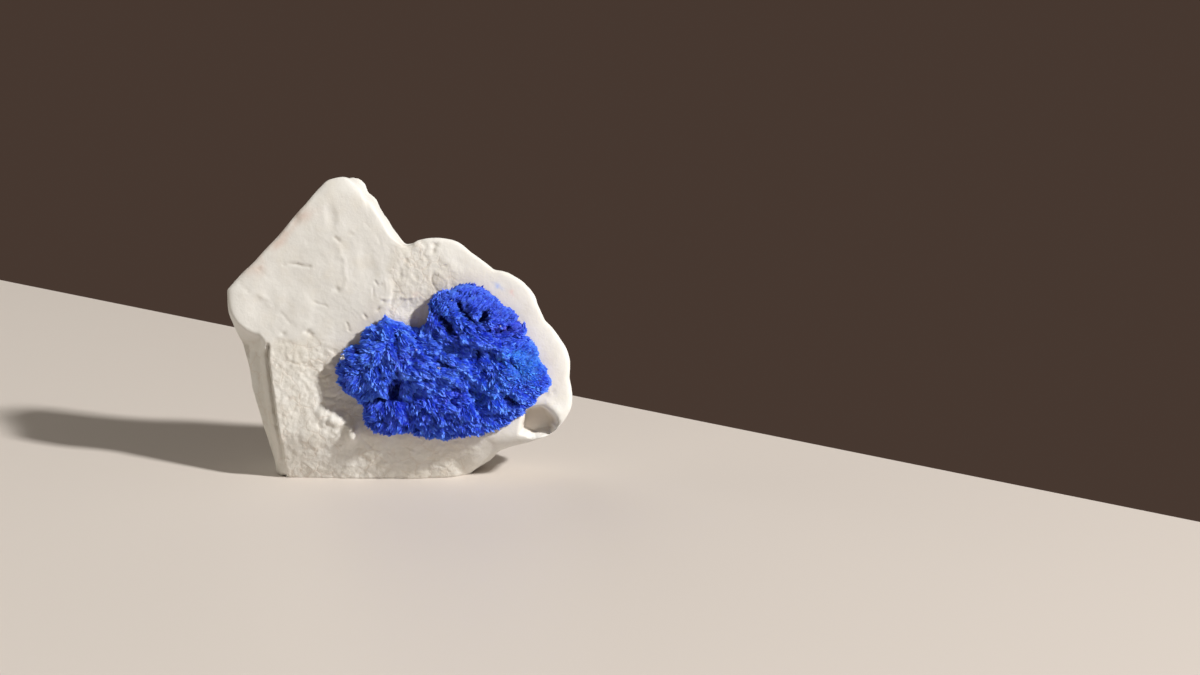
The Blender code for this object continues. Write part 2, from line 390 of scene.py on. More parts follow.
def eased_rows(values: Array, passes: int) -> Array:
    """Values on a closed grid, each blended with its four neighbours a number of times.

    Args:
        values: One value for each point of the grid.
        passes: How many times they are blended.

    Returns:
        The blended values.
    """
    for _ in range(passes):
        rows = np.concatenate((values[:1], values, values[-1:]))
        sides = np.roll(values, 1, axis=1) + np.roll(values, -1, axis=1)
        values = 0.5 * values + 0.125 * (rows[:-2] + rows[2:] + sides)
    return values


def make_mesh(name: str, points: Array, faces: list, smooth: bool,
              fields: dict[str, Array]) -> bpy.types.Object:
    """A mesh object at the origin, from points in metres and faces of point numbers.

    Args:
        name: The piece's name.
        points: One row of x, y and z for each point.
        faces: Lists of point numbers, anticlockwise seen from outside.
        smooth: Whether the faces are shaded smooth.
        fields: Named values, one for each point, that the materials read.

    Returns:
        The new object, linked to the scene.
    """
    mesh = bpy.data.meshes.new(name)
    mesh.from_pydata(points, [], faces)
    mesh.polygons.foreach_set("use_smooth", np.full(len(mesh.polygons), smooth))
    for label, values in fields.items():
        layer = mesh.attributes.new(label, "FLOAT", "POINT")
        layer.data.foreach_set("value", np.ascontiguousarray(values, dtype=np.float32))
    mesh.update()
    piece = bpy.data.objects.new(name, mesh)
    bpy.context.scene.collection.objects.link(piece)
    return piece


def grid_faces(rows: int, columns: int) -> list:
    """Faces of a closed grid whose first and last points are its poles.

    Between the poles the points are numbered row by row.  A quad runs along its column first and
    then round, which makes it face outwards.

    Args:
        rows: How many rows the grid has, poles included.
        columns: How many points go round.

    Returns:
        Lists of point numbers, one for each face.
    """
    number = 1 + np.arange((rows - 2) * columns).reshape(rows - 2, columns)
    after = np.roll(number, -1, axis=1)
    quads = np.stack((number[:-1], number[1:], after[1:], after[:-1]), axis=-1).reshape(-1, 4)
    last = 1 + number[-1, -1]
    front = np.stack((np.zeros_like(number[0]), number[0], after[0]), axis=-1)
    back = np.stack((number[-1], np.full_like(number[0], last), after[-1]), axis=-1)
    return quads.tolist() + front.tolist() + back.tolist()


def grid_values(values: Array) -> Array:
    """Values of a closed grid as one list: the front pole, the rows between, the back pole."""
    inner = values[1:-1].reshape(-1, *values.shape[2:])
    return np.concatenate((values[:1, 0], inner, values[-1:, 0]))


# ---------------------------------------------------------------------------------------------
# Materials
# ---------------------------------------------------------------------------------------------


class Wire:
    """A shader socket that takes part in Python arithmetic, adding a Math node for each step."""

    def __init__(self, shade: "Shade", socket: bpy.types.NodeSocket) -> None:
        """Wraps an output socket of a shade's node tree."""
        self.shade = shade
        self.socket = socket

    def _math(self, operation: str, first: "Wire | float", second: "Wire | float" = 0.0) -> "Wire":
        """One Math node on two values."""
        node = self.shade.node("ShaderNodeMath", {"operation": operation}, {0: first, 1: second})
        return Wire(self.shade, node.outputs[0])

    def __add__(self, other: "Wire | float") -> "Wire":
        """The sum."""
        return self._math("ADD", self, other)

    __radd__ = __add__

    def __sub__(self, other: "Wire | float") -> "Wire":
        """The difference."""
        return self._math("SUBTRACT", self, other)

    def __rsub__(self, other: "Wire | float") -> "Wire":
        """The difference, with the socket taken away."""
        return self._math("SUBTRACT", other, self)

    def __mul__(self, other: "Wire | float") -> "Wire":
        """The product."""
        return self._math("MULTIPLY", self, other)

    __rmul__ = __mul__

    def within(self, low: float, high: float) -> "Wire":
        """A smooth step from 0 at low to 1 at high.

        Args:
            low: Where the step starts.
            high: Where it ends.

        Returns:
            The stepped value.
        """
        settings = {"interpolation_type": "SMOOTHSTEP"}
        inputs = {"Value": self, "From Min": low, "From Max": high}
        return Wire(self.shade, self.shade.node("ShaderNodeMapRange", settings, inputs).outputs[0])

    def clipped(self) -> "Wire":
        """The value held between 0 and 1."""
        return Wire(self.shade, self.shade.node("ShaderNodeClamp", {}, {0: self}).outputs[0])


class Shade:
    """The node tree of one material, on a Principled shader."""

    def __init__(self, name: str, uniform: dict[str, float]) -> None:
        """Starts a material and sets the shader's uniform values.

        Args:
            name: The material's name.
            uniform: Values that are the same all over, by the name of their socket.
        """
        self.material = bpy.data.materials.new(name)
        self.material.use_nodes = True
        self.nodes = self.material.node_tree.nodes
        self.links = self.material.node_tree.links
        self.shader = self.nodes["Principled BSDF"]
        for socket, value in uniform.items():
            self.shader.inputs[socket].default_value = value
        self.place = Wire(self, self.node("ShaderNodeTexCoord", {}, {}).outputs["Object"])

    def node(self, kind: str, settings: dict, inputs: dict) -> bpy.types.Node:
        """Adds a node: its settings first, and then the values or links of its sockets.

        Args:
            kind: The node's type.
            settings: Its own settings, such as a Math node's operation.
            inputs: A value or a link for each socket, by name or number.

        Returns:
            The node.
        """
        node = self.nodes.new(kind)
        for name, value in settings.items():
            setattr(node, name, value)
        for name, value in inputs.items():
            self.feed(node.inputs[name], value)
        return node

    def feed(self, socket: bpy.types.NodeSocket, value: "Wire | float | tuple") -> None:
        """Links a wire to a socket, or sets the socket's own value.

        Args:
            socket: The socket to fill.
            value: A wire, or the value itself.
        """
        if isinstance(value, Wire):
            self.links.new(value.socket, socket)
        else:
            socket.default_value = value

    def field(self, name: str) -> Wire:
        """A named value that the mesh carries."""
        node = self.node("ShaderNodeAttribute", {"attribute_name": name}, {})
        return Wire(self, node.outputs["Fac"])

    def cloud(self, size: float, detail: float = 3.0, warp: float = 0.0) -> Wire:
        """Noise from 0 to 1 whose features measure about a size in metres."""
        inputs = {"Vector": self.place, "Scale": 1.0 / size, "Detail": detail, "Distortion": warp}
        return Wire(self, self.node("ShaderNodeTexNoise", {}, inputs).outputs[0])

    def cracks(self, size: float) -> Wire:
        """Distance to the borders of a scattered pattern of cells, whose size is in metres.

        Args:
            size: The size of a cell, in metres.

        Returns:
            The distance, in cells.
        """
        bent = self.node("ShaderNodeTexNoise", {}, {"Vector": self.place, "Scale": 2.5 / size})
        shift = self.node("ShaderNodeVectorMath", {"operation": "MULTIPLY_ADD"},
                          {0: Wire(self, bent.outputs[1]), 1: (0.5 * size,) * 3, 2: self.place})
        settings = {"feature": "DISTANCE_TO_EDGE"}
        inputs = {"Vector": Wire(self, shift.outputs[0]), "Scale": 1.0 / size}
        return Wire(self, self.node("ShaderNodeTexVoronoi", settings, inputs).outputs[0])

    def mix(self, first: "Wire | Colour", second: "Wire | Colour", share: Wire) -> Wire:
        """The first colour turned into the second by a share from 0 to 1.

        Args:
            first: The colour where the share is 0.
            second: The colour where it is 1.
            share: The share.

        Returns:
            The mixed colour.
        """
        ends = [end if isinstance(end, Wire) else (*end, 1.0) for end in (first, second)]
        inputs = {0: share, 6: ends[0], 7: ends[1]}
        return Wire(self, self.node("ShaderNodeMix", {"data_type": "RGBA"}, inputs).outputs[2])

    def finish(self, colour: Wire, roughness: Wire, relief: Wire, height: float,
               strength: float) -> bpy.types.Material:
        """Feeds the shader its colour, roughness and fine relief.

        Args:
            colour: The base colour.
            roughness: The roughness, from 0 to 1.
            relief: The relief's height, from 0 to 1.
            height: What a relief of 1 measures, in metres.
            strength: How much of the relief's slope is shown.

        Returns:
            The finished material.
        """
        inputs = {"Strength": strength, "Distance": height, "Height": relief}
        bump = self.node("ShaderNodeBump", {}, inputs)
        self.feed(self.shader.inputs["Base Color"], colour)
        self.feed(self.shader.inputs["Roughness"], roughness)
        self.feed(self.shader.inputs["Normal"], Wire(self, bump.outputs["Normal"]))
        return self.material


@dataclass(frozen=True)
class KaolinFinish:
    """Dry white clay stone: chalky, faintly warm, stained in cracks and along its old edge, with
    painted shade in its narrow cracks, pits and scoop.
    """

    white: Colour = (0.77, 0.76, 0.73)
    grey: Colour = (0.68, 0.67, 0.64)
    cream: Colour = (0.71, 0.67, 0.59)
    rust: Colour = (0.56, 0.40, 0.30)
    pink: Colour = (0.66, 0.50, 0.43)
    # painted light: the colour painted into the scoop as its shade, and round the rosette against
    # its blue bounce light
    warm: Colour = (0.60, 0.50, 0.40)
    crack_shade: Colour = (0.34, 0.29, 0.23)
    # the colour of the painted shade in the narrow cracks and small pits
    blue_dust: Colour = (0.42, 0.52, 0.80)
    red_dust: Colour = (0.82, 0.50, 0.43)

    def make(self) -> bpy.types.Material:
        """The material.  Its stains and its painted shade follow the fields that the slab's mesh
        carries.

        Returns:
            The material.
        """
        shade = Shade("kaolin", {"Specular IOR Level": 0.25})
        blotches = shade.cloud(0.018, 4.0, 0.4)
        patches = shade.cloud(0.006, 4.0, 0.2)
        grain = shade.cloud(0.0007, 2.0)
        colour = shade.mix(self.white, self.grey, blotches.within(0.35, 0.75) * 0.55)
        colour = shade.mix(colour, self.cream, patches.within(0.45, 0.75) * 0.35)

        rough = shade.field("rough")
        crack = 1.0 - shade.cracks(0.0045).within(0.0, 0.09)
        veins = (crack * rough * patches.within(0.35, 0.6)).clipped()
        colour = shade.mix(colour, self.rust, veins * 0.22)
        colour = shade.mix(colour, self.cream, rough * blotches.within(0.3, 0.7) * 0.5)

        stain = shade.field("stain") * patches.within(0.30, 0.62)
        colour = shade.mix(colour, self.pink, stain.clipped() * 0.6)
        # painted light: a warm brown darkens the scoop as painted shade, and a warm tint is painted
        # round the rosette to offset the blue light it bounces onto the stone
        painted_light_warmth = shade.field("warm").clipped() * patches.within(0.1, 0.5)
        colour = shade.mix(colour, self.warm, painted_light_warmth)
        # painted shade: darker brown in the narrow cracks and small pits that the cavity field
        # marks
        colour = shade.mix(colour, self.crack_shade, shade.field("cavity").clipped() * 0.45)
        colour = shade.mix(colour, self.blue_dust, shade.field("blue_dust").clipped())
        colour = shade.mix(colour, self.red_dust, shade.field("red_dust").clipped())

        roughness = 0.86 + 0.1 * blotches
        broken = rough * (0.7 * shade.cloud(0.0012, 3.0) - 0.25 * veins)
        relief = 0.5 * patches + 0.3 * shade.cloud(0.0018, 3.0) + 0.2 * grain + broken
        return shade.finish(colour, roughness, relief, 0.0011, 0.22)


@dataclass(frozen=True)
class AzuriteFinish:
    """Deep ultramarine crystal with painted light and shade: nearly black in the gaps, brighter
    blue towards the tips.
    """

    # gap: painted shade, the near black that roots, hollows and low-lying crust take
    gap: Colour = (0.010, 0.014, 0.20)
    deep: Colour = (0.050, 0.088, 0.84)
    blue: Colour = (0.128, 0.300, 1.00)
    azure: Colour = (0.070, 0.400, 1.00)
    violet: Colour = (0.100, 0.060, 0.66)

    def make(self) -> bpy.types.Material:
        """The material.  `tip` is painted light and shade: it rises along a blade and is low in
        hollows and low-lying crust.  `tone` and `hue` differ from blade to blade.

        Returns:
            The material.
        """
        shade = Shade("azurite", {"Specular IOR Level": 0.16})
        tip = shade.field("tip")
        tone = shade.field("tone")
        hue = shade.field("hue")
        fine = shade.cloud(0.0006, 2.0)
        # tip is painted light and shade; here it also lifts the crystals from deep blue towards
        # blue
        bright = 0.55 * tone + 0.35 * fine + 0.55 * tip.within(0.5, 1.2)
        colour = shade.mix(self.deep, self.blue, bright.clipped())
        # azure and violet: partly the crystal's own tints, partly painted highlight and painted
        # shade from the hue patches
        colour = shade.mix(colour, self.azure, hue.within(0.55, 1.0) * 0.7)
        colour = shade.mix(colour, self.violet, (1.0 - hue.within(0.0, 0.42)) * 0.75)
        # painted shade: towards the gap colour where tip is low, at roots and in hollows
        colour = shade.mix(self.gap, colour, tip.within(0.0, 0.68))
        roughness = (0.46 + 0.35 * shade.field("dull")).clipped()
        return shade.finish(colour, roughness, fine, 0.00008, 0.4)


@dataclass(frozen=True)
class StudioFinish:
    """Plain matt paint for the surface that the specimen stands on."""

    paint: Colour = (0.70, 0.645, 0.60)

    def make(self) -> bpy.types.Material:
        """The material, with a faint unevenness.

        Returns:
            The material.
        """
        shade = Shade("studio_floor", {"Specular IOR Level": 0.3})
        cloud = shade.cloud(0.25, 2.0)
        darker = tuple(0.96 * part for part in self.paint)
        colour = shade.mix(self.paint, darker, cloud)
        return shade.finish(colour, 0.45 + 0.1 * cloud, shade.cloud(0.0012, 2.0), 0.00002, 0.2)


# ---------------------------------------------------------------------------------------------
# The slab
# ---------------------------------------------------------------------------------------------


@dataclass(frozen=True)
class Mark:
    """A crack or a ridge along a short path on the face, in millimetres.

    Attributes:
        path: Its points, as (x, z).
        width: Its half width.
        depth: How far it cuts in; a ridge has a negative depth.
    """

    path: tuple[Point, ...]
    width: float
    depth: float


@dataclass(frozen=True)
class Dent:
    """An oval hollow or bump on the face, in millimetres.

    Attributes:
        centre: Its middle, as (x, z).
        half: Its half width and half height.
        turn: How far it is turned anticlockwise, in degrees.
        depth: How far it sinks in; a bump has a negative depth.
        hard: How flat its floor and steep its sides are: 2 is a soft bowl.
        boxy: How square its outline is: 2 is an oval.
    """

    centre: Point
    half: Point
    turn: float
    depth: float
    hard: float = 2.0
    boxy: float = 2.0

    def shape(self, x: Array, z: Array) -> Array:
        """The share of the depth: exp(-q^hard), where q is 1 on the outline, a superellipse.

        Args:
            x: Distances to the right of the stone's middle.
            z: Heights.

        Returns:
            The share at each place.
        """
        turn = math.radians(self.turn)
        away_x, away_z = x - self.centre[0], z - self.centre[1]
        u = (away_x * math.cos(turn) + away_z * math.sin(turn)) / self.half[0]
        v = (-away_x * math.sin(turn) + away_z * math.cos(turn)) / self.half[1]
        out = np.abs(u) ** self.boxy + np.abs(v) ** self.boxy
        return np.exp(-out ** (self.hard / self.boxy))


@dataclass(frozen=True)
class Recess:
    """A hollow inside a convex outline, whose sides slope in over widths of their own.

    Attributes:
        corners: Its corners anticlockwise, as (x, z), in millimetres.
        slopes: How wide the slope inside each side is, from the first corner's side on.
        depth: How deep its floor is.
    """

    corners: tuple[Point, ...]
    slopes: tuple[float, ...]
    depth: float

    def shape(self, x: Array, z: Array) -> Array:
        """The share of the depth: the product of a smooth step in from each side.

        Args:
            x: Distances to the right of the stone's middle.
            z: Heights.

        Returns:
            The share at each place.
        """
        share = np.ones_like(x)
        ends = self.corners[1:] + self.corners[:1]
        for start, end, slope in zip(self.corners, ends, self.slopes):
            share = share * ease(beyond_line(x, z, start, end), 0.0, slope)
        return share


@dataclass(frozen=True)
class Pleat:
    """A groove that is sheer on its right and eases off to its left, in millimetres.

    Attributes:
        path: The line of its deepest part from the top down, as (x, z).
        width: How far it eases off.
        depth: How far it cuts in.
    """

    path: tuple[Point, ...]
    width: float
    depth: float

    def cut(self, x: Array, z: Array) -> Array:
        """How deep it is: exp(-(distance / width)^2), with a far smaller width on the right.

        Args:
            x: Distances to the right of the stone's middle.
            z: Heights.

        Returns:
            The depth at each place.
        """
        line = np.array(self.path[::-1])
        right = x > np.interp(z, line[:, 1], line[:, 0])
        near = path_distance(x, z, self.path) / np.where(right, 0.28, self.width)
        return self.depth * np.exp(-near ** 2)


MIDDLE = (0.0, 38.0)
COMMON_OUTLINE = (
    (-1.5, 78.0), (-5.2, 84.2), (-8.1, 88.4), (-10.2, 90.0), (-10.5, 91.2),
    (-12.8, 93.6), (-53.1, 52.9), (-52.2, 49.7), (-51.4, 46.7), (-49.3, 39.4), (-47.8, 32.5),
    (-45.5, 22.0), (-43.0, 13.0), (-41.0, 5.0), (-38.5, -5.0), (-30.0, -9.0), (-12.0, -9.0),
    (4.0, -9.0), (12.0, -5.5), (20.0, -1.0))
WAIST = Outline(MIDDLE, COMMON_OUTLINE + (
    (30.0, 5.5), (42.5, 10.2), (47.4, 12.0), (50.4, 15.0), (52.3, 17.7), (54.0, 20.8),
    (54.4, 23.8), (54.2, 26.5), (53.4, 30.2), (53.7, 34.9), (52.9, 38.8), (50.7, 42.3),
    (48.4, 45.7), (45.5, 48.7), (43.2, 54.0), (41.3, 58.0), (38.4, 61.0), (33.2, 64.1),
    (29.8, 64.9), (23.0, 69.8), (18.6, 73.2), (13.5, 74.7), (6.7, 74.1), (2.8, 73.0),
    (-17.0, 94.0), (-20.6, 92.0), (-24.6, 87.6), (-35.2, 75.3), (-42.4, 67.4), (-48.6, 61.2),
    (-52.6, 58.2), (-53.6, 56.6)))
EDGE = Outline(MIDDLE, COMMON_OUTLINE + (
    (31.0, 9.5), (42.9, 14.1), (47.7, 15.9), (51.0, 18.6), (53.1, 21.3), (54.7, 24.4),
    (55.1, 27.4), (54.9, 30.0), (54.1, 33.8), (54.4, 38.1), (53.6, 42.1), (51.5, 45.7),
    (49.2, 49.1), (46.4, 52.0), (44.1, 57.1), (42.3, 60.9), (39.2, 64.1), (33.9, 67.2),
    (30.4, 67.9), (23.9, 72.9), (19.5, 76.3), (14.2, 77.6), (7.1, 77.0), (3.2, 75.0),
    (-16.8, 96.3), (-21.3, 95.4), (-23.8, 93.3), (-29.5, 87.0), (-38.6, 76.6), (-44.4, 70.5),
    (-49.1, 66.1), (-51.9, 63.0), (-53.6, 60.9), (-53.5, 59.6), (-53.3, 56.6)))
ROSETTE = Outline((14.5, 37.5), (
    (48.0, 33.5), (46.6, 37.6), (45.1, 39.8), (43.5, 43.9), (42.6, 46.1), (40.1, 48.0),
    (40.6, 50.0), (38.2, 52.0), (37.2, 55.0), (33.8, 57.5), (31.4, 59.3), (27.9, 61.9),
    (23.5, 63.3), (18.9, 63.0), (16.7, 62.6), (12.6, 60.5), (10.6, 58.2), (10.6, 54.8),
    (9.6, 51.8), (7.5, 50.3), (4.5, 50.3), (1.8, 51.0), (-1.6, 52.4), (-3.9, 53.3),
    (-6.6, 51.2), (-9.5, 50.0), (-11.6, 45.0), (-15.4, 43.4), (-17.0, 41.9), (-19.0, 37.6),
    (-18.7, 33.6), (-17.2, 30.6), (-13.3, 28.4), (-10.9, 25.3), (-10.4, 22.0),
    (-8.8, 19.0), (-5.5, 17.2), (-2.0, 17.0), (0.9, 17.9), (8.7, 16.1), (18.1, 16.0),
    (27.5, 17.8), (35.3, 20.9), (37.8, 22.8), (42.9, 27.1), (46.3, 30.4)))
FRONT_RIM = ((-60.0, 4.0), (-40.0, 8.0), (-30.0, 18.0), (-15.0, 30.0), (85.0, 34.0),
             (95.0, 22.0), (106.0, 24.0), (113.0, 34.0), (186.0, 34.0), (205.0, 12.0),
             (235.0, 6.0), (270.0, 5.0))
BACK_RIM = ((-60.0, 3.4), (0.0, 3.4), (60.0, 3.6), (110.0, 4.5), (190.0, 4.5), (250.0, 5.0))


@dataclass
class Slab:
    """The white kaolin slab, in millimetres in the stone's own frame."""

    face_y: float = -20.5
    face_lean: float = 0.16
    ridge: tuple[Point, ...] = (
        (25.0, 20.0), (24.5, 52.0), (21.5, 66.0), (14.5, 76.0), (12.0, 80.0))
    bevel: tuple[Point, Point] = ((-6.5, 89.8), (3.3, 76.2))
    tip_x: float = -16.0
    back_y: float = 19.5
    back_lean: float = -0.13
    middle_y: float = -0.5
    middle_lean: float = 0.05
    thinnest_half: float = 1.5
    undercut_top: float = 16.0
    smooth_right: float = -2.7      # where the smooth part of the face ends on the right
    smooth_bottom: float = 43.5     # where it ends at the bottom
    face_share: float = 0.76        # the share of the rows that lie on a face
    columns: int = 532
    rows: tuple[int, int] = (130, 54)
    solid_columns: int = 84         # the columns and rows of the slab's solid
    solid_rows: tuple[int, int] = (17, 13)
    lip: tuple[Point, ...] = (
        (-53.9, 66.0), (-53.9, 61.9), (-53.8, 58.8), (-53.4, 56.4), (-52.6, 54.3), (-51.5, 52.5),
        (-50.0, 50.5), (-47.3, 48.5), (-44.2, 47.1), (-42.5, 46.3), (-41.6, 44.6), (-41.2, 42.4),
        (-40.9, 37.0), (-39.4, 26.0), (-37.5, 12.0), (-36.5, -10.0))
    pleats: tuple[Pleat, ...] = (
        Pleat(((-43.2, 43.6), (-43.9, 38.0), (-42.6, 27.0), (-40.7, 12.0),
               (-39.7, -10.0)), 2.4, 2.4),
        Pleat(((-40.5, 43.4), (-40.8, 40.9), (-40.6, 37.5), (-39.2, 26.0),
               (-37.3, 12.0), (-36.3, -10.0)), 0.75, 1.9),
    )
    marks: tuple[Mark, ...] = (
        Mark(((-35.2, 68.7), (-33.0, 69.2), (-30.6, 69.0)), 0.30, 0.50),
        Mark(((-31.4, 69.2), (-29.4, 68.6), (-27.2, 68.3)), 0.32, 0.70),
        Mark(((-43.0, 67.8), (-42.2, 66.4), (-40.4, 65.1)), 0.40, 0.55),
        Mark(((-49.3, 64.4), (-48.3, 62.6), (-46.6, 60.8)), 0.35, 0.60),
        Mark(((-36.2, 54.3), (-35.0, 52.6), (-33.8, 51.0)), 0.35, 0.35),
        Mark(((-25.6, 57.6), (-24.0, 57.0), (-22.2, 56.1)), 0.30, 0.35),
        Mark(((-16.2, 71.6), (-15.9, 68.0), (-15.5, 64.0), (-16.4, 61.8)), 0.60, -0.26),
        Mark(((-18.2, 76.2), (-17.2, 73.6), (-17.8, 71.6)), 0.80, -0.25),
        Mark(((-15.6, 51.0), (-14.8, 48.4)), 0.30, 0.50),
        Mark(((-18.9, 77.4), (-17.4, 76.2)), 0.42, 0.85),
        Mark(((-15.0, 78.9), (-13.6, 78.1)), 0.35, 0.45),
        Mark(((-12.6, 79.7), (-11.8, 79.3)), 0.30, 0.30),
        Mark(((-9.8, 82.2), (-8.4, 81.5)), 0.35, 0.45),
        Mark(((-5.6, 78.0), (-5.2, 75.6)), 0.50, 0.25),
        Mark(((3.4, 70.6), (1.6, 68.6), (1.4, 66.2)), 0.80, 0.40),
        Mark(((-3.6, 64.4), (-3.0, 61.6), (-3.8, 59.6)), 0.40, -0.12),
        Mark(((-6.4, 63.8), (-5.4, 62.6), (-4.6, 63.0)), 0.35, 0.40),
        Mark(((-7.0, 62.0), (-7.2, 58.6)), 0.35, 0.30),
        Mark(((-4.6, 58.6), (0.0, 59.2), (4.8, 58.9)), 0.50, -0.40),
        Mark(((-31.0, 38.2), (-28.5, 36.9), (-26.6, 37.6)), 0.26, 0.30),
        Mark(((-27.0, 35.0), (-24.0, 33.6), (-20.4, 35.2)), 0.26, 0.35),
        Mark(((-25.0, 28.6), (-20.6, 27.4), (-18.0, 28.2)), 0.30, 0.45),
        Mark(((-29.0, 32.2), (-27.6, 29.0), (-28.4, 26.0)), 0.26, 0.30),
        Mark(((-43.4, 59.8), (-41.4, 58.4), (-39.9, 56.4)), 0.70, -0.40),
        Mark(((13.6, 70.4), (14.6, 69.2), (15.6, 68.6)), 0.40, 0.45),
        Mark(((11.2, 66.6), (11.0, 64.6), (11.8, 62.2), (12.8, 61.0)), 0.34, 0.45),
        Mark(((12.6, 66.9), (14.6, 66.0), (16.0, 64.2), (15.8, 62.8)), 0.34, -0.35),
        Mark(((9.2, 74.4), (8.4, 72.6), (9.2, 71.2)), 0.40, 0.35),
        Mark(((40.2, 27.3), (43.9, 28.4), (47.9, 29.4)), 1.2, 0.8),
        Mark(((40.4, 25.6), (44.2, 26.7), (47.8, 26.2), (50.6, 23.4)), 1.2, -0.9),
    )
    scoop: Recess = Recess(
        ((38.1, 16.4), (42.1, 14.9), (49.0, 15.9), (51.2, 20.6), (47.2, 25.6), (40.6, 25.8),
         (38.4, 21.4)), (0.9, 0.9, 1.4, 3.0, 3.0, 2.2, 1.5), 6.5)
    dents: tuple[Dent, ...] = (
        Dent((-29.8, 54.6), (3.6, 5.9), 8.0, -0.28, 5.0),
        Dent((-36.6, 58.4), (2.4, 3.2), 20.0, -0.12, 3.0),
        Dent((-43.6, 56.4), (3.4, 2.4), 50.0, 0.16, 3.0),
        Dent((-18.7, 61.5), (0.9, 0.8), 0.0, 0.45),
        Dent((-4.2, 58.1), (0.7, 0.5), 30.0, 0.4),
        Dent((-5.7, 55.5), (0.9, 0.4), 35.0, 0.5),
        Dent((-9.9, 53.1), (0.5, 0.7), 20.0, 0.4),
        Dent((-28.1, 48.1), (0.9, 0.6), 40.0, 0.6),
        Dent((-27.0, 47.2), (0.6, 0.5), 40.0, 0.5),
        Dent((-35.9, 47.5), (0.7, 0.6), 0.0, 0.4),
        Dent((-20.4, 84.4), (1.6, 4.2), 4.0, 0.30, 3.0),
        Dent((-12.5, 83.0), (4.4, 2.6), 20.0, 0.25, 3.0),
        Dent((-31.8, 83.2), (1.6, 1.9), -40.0, 0.40, 3.0),
        Dent((-9.0, 70.0), (2.6, 6.0), 10.0, 0.22, 4.0),
        Dent((12.2, 75.2), (1.0, 0.8), 0.0, 0.6),
        Dent((11.6, 73.6), (0.6, 0.7), 0.0, 0.5),
        Dent((5.6, 55.4), (6.6, 3.2), -6.0, 0.8, 2.2),
        Dent((-14.4, 16.4), (2.1, 3.4), -16.0, -2.0, 2.6),
        Dent((-19.0, 20.8), (2.6, 2.2), -14.0, -1.2, 3.0),
        Dent((-22.6, 22.4), (2.4, 3.4), 30.0, -0.7, 3.0),
        Dent((-14.0, 26.0), (6.0, 6.0), -20.0, 1.8, 2.5),
    )

    def shell(self, columns: int, rows: tuple[int, int]) -> Shell:
        """The slab's outline as a shell of so many columns and rows in front and behind."""
        return Shell.around(WAIST, EDGE, (FRONT_RIM, BACK_RIM), self.face_share, columns, rows)

    def front(self, x: Array, z: Array) -> Array:
        """The y of the crystal face: a broad leaning face with a bevel and an undercut foot.

        The face is the further back of two planes that meet along the ridge.  The bevel falls
        back from a line down the right of the peak, and a small facet caps the tip.

        Args:
            x: Distances to the right of the stone's middle.
            z: Heights.

        Returns:
            The y at each place.
        """
        lean = self.face_y + self.face_lean * z
        off_ridge = self.off_ridge(x, z)
        face = smooth_max(lean - 0.04 * off_ridge, lean + 0.06 * off_ridge, 0.5)
        bevel = smooth_min(beyond_line(x, z, *self.bevel), 3.2, 0.5)
        on_peak = np.clip((z - 70.0) / 6.0, 0.0, 1.0) * (1.0 - ease(x, 2.0, 6.0))
        face = face + 1.2 * on_peak * smooth_max(bevel, 0.0, 0.4)
        off_tip = np.minimum(np.abs(x - self.tip_x), 8.0)
        face = face + 0.16 * smooth_max(z - 91.9 + 0.04 * off_tip ** 2, 0.0, 0.3)
        return face + 0.5 * smooth_max(self.undercut_top - z, 0.0, 1.5)

    def off_ridge(self, x: Array, z: Array) -> Array:
        """How far to the right of the face's blunt ridge a place is."""
        ridge = np.array(self.ridge)
        return x - np.interp(z, ridge[:, 1], ridge[:, 0])

    def beyond_lip(self, x: Array, z: Array) -> Array:
        """Signed distance to the lip, positive on the shaded side to its left.

        Args:
            x: Distances to the right of the stone's middle.
            z: Heights.

        Returns:
            One distance for each place.
        """
        lip = np.array(self.lip[::-1])
        side = np.interp(z, lip[:, 1], lip[:, 0]) - x
        return np.sign(side) * path_distance(x, z, self.lip)

    def back(self, x: Array, z: Array) -> Array:
        """The y of the back: the nearest of five fracture planes, which meet in blunt ridges.

        Args:
            x: Distances to the right of the stone's middle.
            z: Heights.

        Returns:
            The y at each place.
        """
        lean = self.back_y + self.back_lean * z
        planes = (
            lean + 1.0 + 0.22 * (x + 22.0) - 0.10 * (z - 50.0),
            lean + 2.0 - 0.30 * (x - 18.0) + 0.05 * (z - 40.0),
            lean + 0.5 - 0.12 * (x - 5.0) - 0.20 * (z - 52.0),
            self.back_y - 7.0 + 0.55 * z,
        )
        back = lean - 0.04 * (x + 10.0)
        for plane in planes:
            back = smooth_min(back, plane, 0.5)
        return back

    def sheet(self, x: Array, z: Array, depth: Array, side: Array) -> Array:
        """The slab's y in front and behind, closing to its middle sheet at the rim.

        The left side falls back steeply beyond the lip.

        Args:
            x: Distances to the right of the stone's middle.
            z: Heights.
            depth: The share of the full depth, from 1 at a pole to 0 at the rim.
            side: -1 in front and 1 behind.

        Returns:
            The y at each place.
        """
        middle = self.middle_y + self.middle_lean * z
        fall = 1.6 * smooth_max(self.beyond_lip(x, z), 0.0, 0.25)
        for pleat in self.pleats:
            fall = fall + pleat.cut(x, z)
        face = np.where(side < 0.0, self.front(x, z) + fall, self.back(x, z))
        half = np.maximum(side * (face - middle), self.thinnest_half)
        return middle + side * half * depth

    def smooth_part(self, place: Array) -> Array:
        """1 on the smooth part of the face and 0 on the rough parts, with a ragged border.

        Args:
            place: Points, with x, y and z along the last axis.

        Returns:
            One value for each point.
        """
        x, z = place[..., 0], place[..., 2]
        ragged = 1.6 * cloud(place, 6.0, 4, 11)
        left = 1.0 - ease(x - self.smooth_right + ragged, -1.4, 1.4)
        left = left * ease(z - self.smooth_bottom + 2.0 * ragged, -2.5, 2.5)
        peak = ease(z, 72.0, 76.0) * (1.0 - ease(x, -2.0, 3.0))
        bevel = ease(beyond_line(x, z, *self.bevel), -0.5, 0.5)
        return np.maximum(left, peak * (1.0 - bevel))

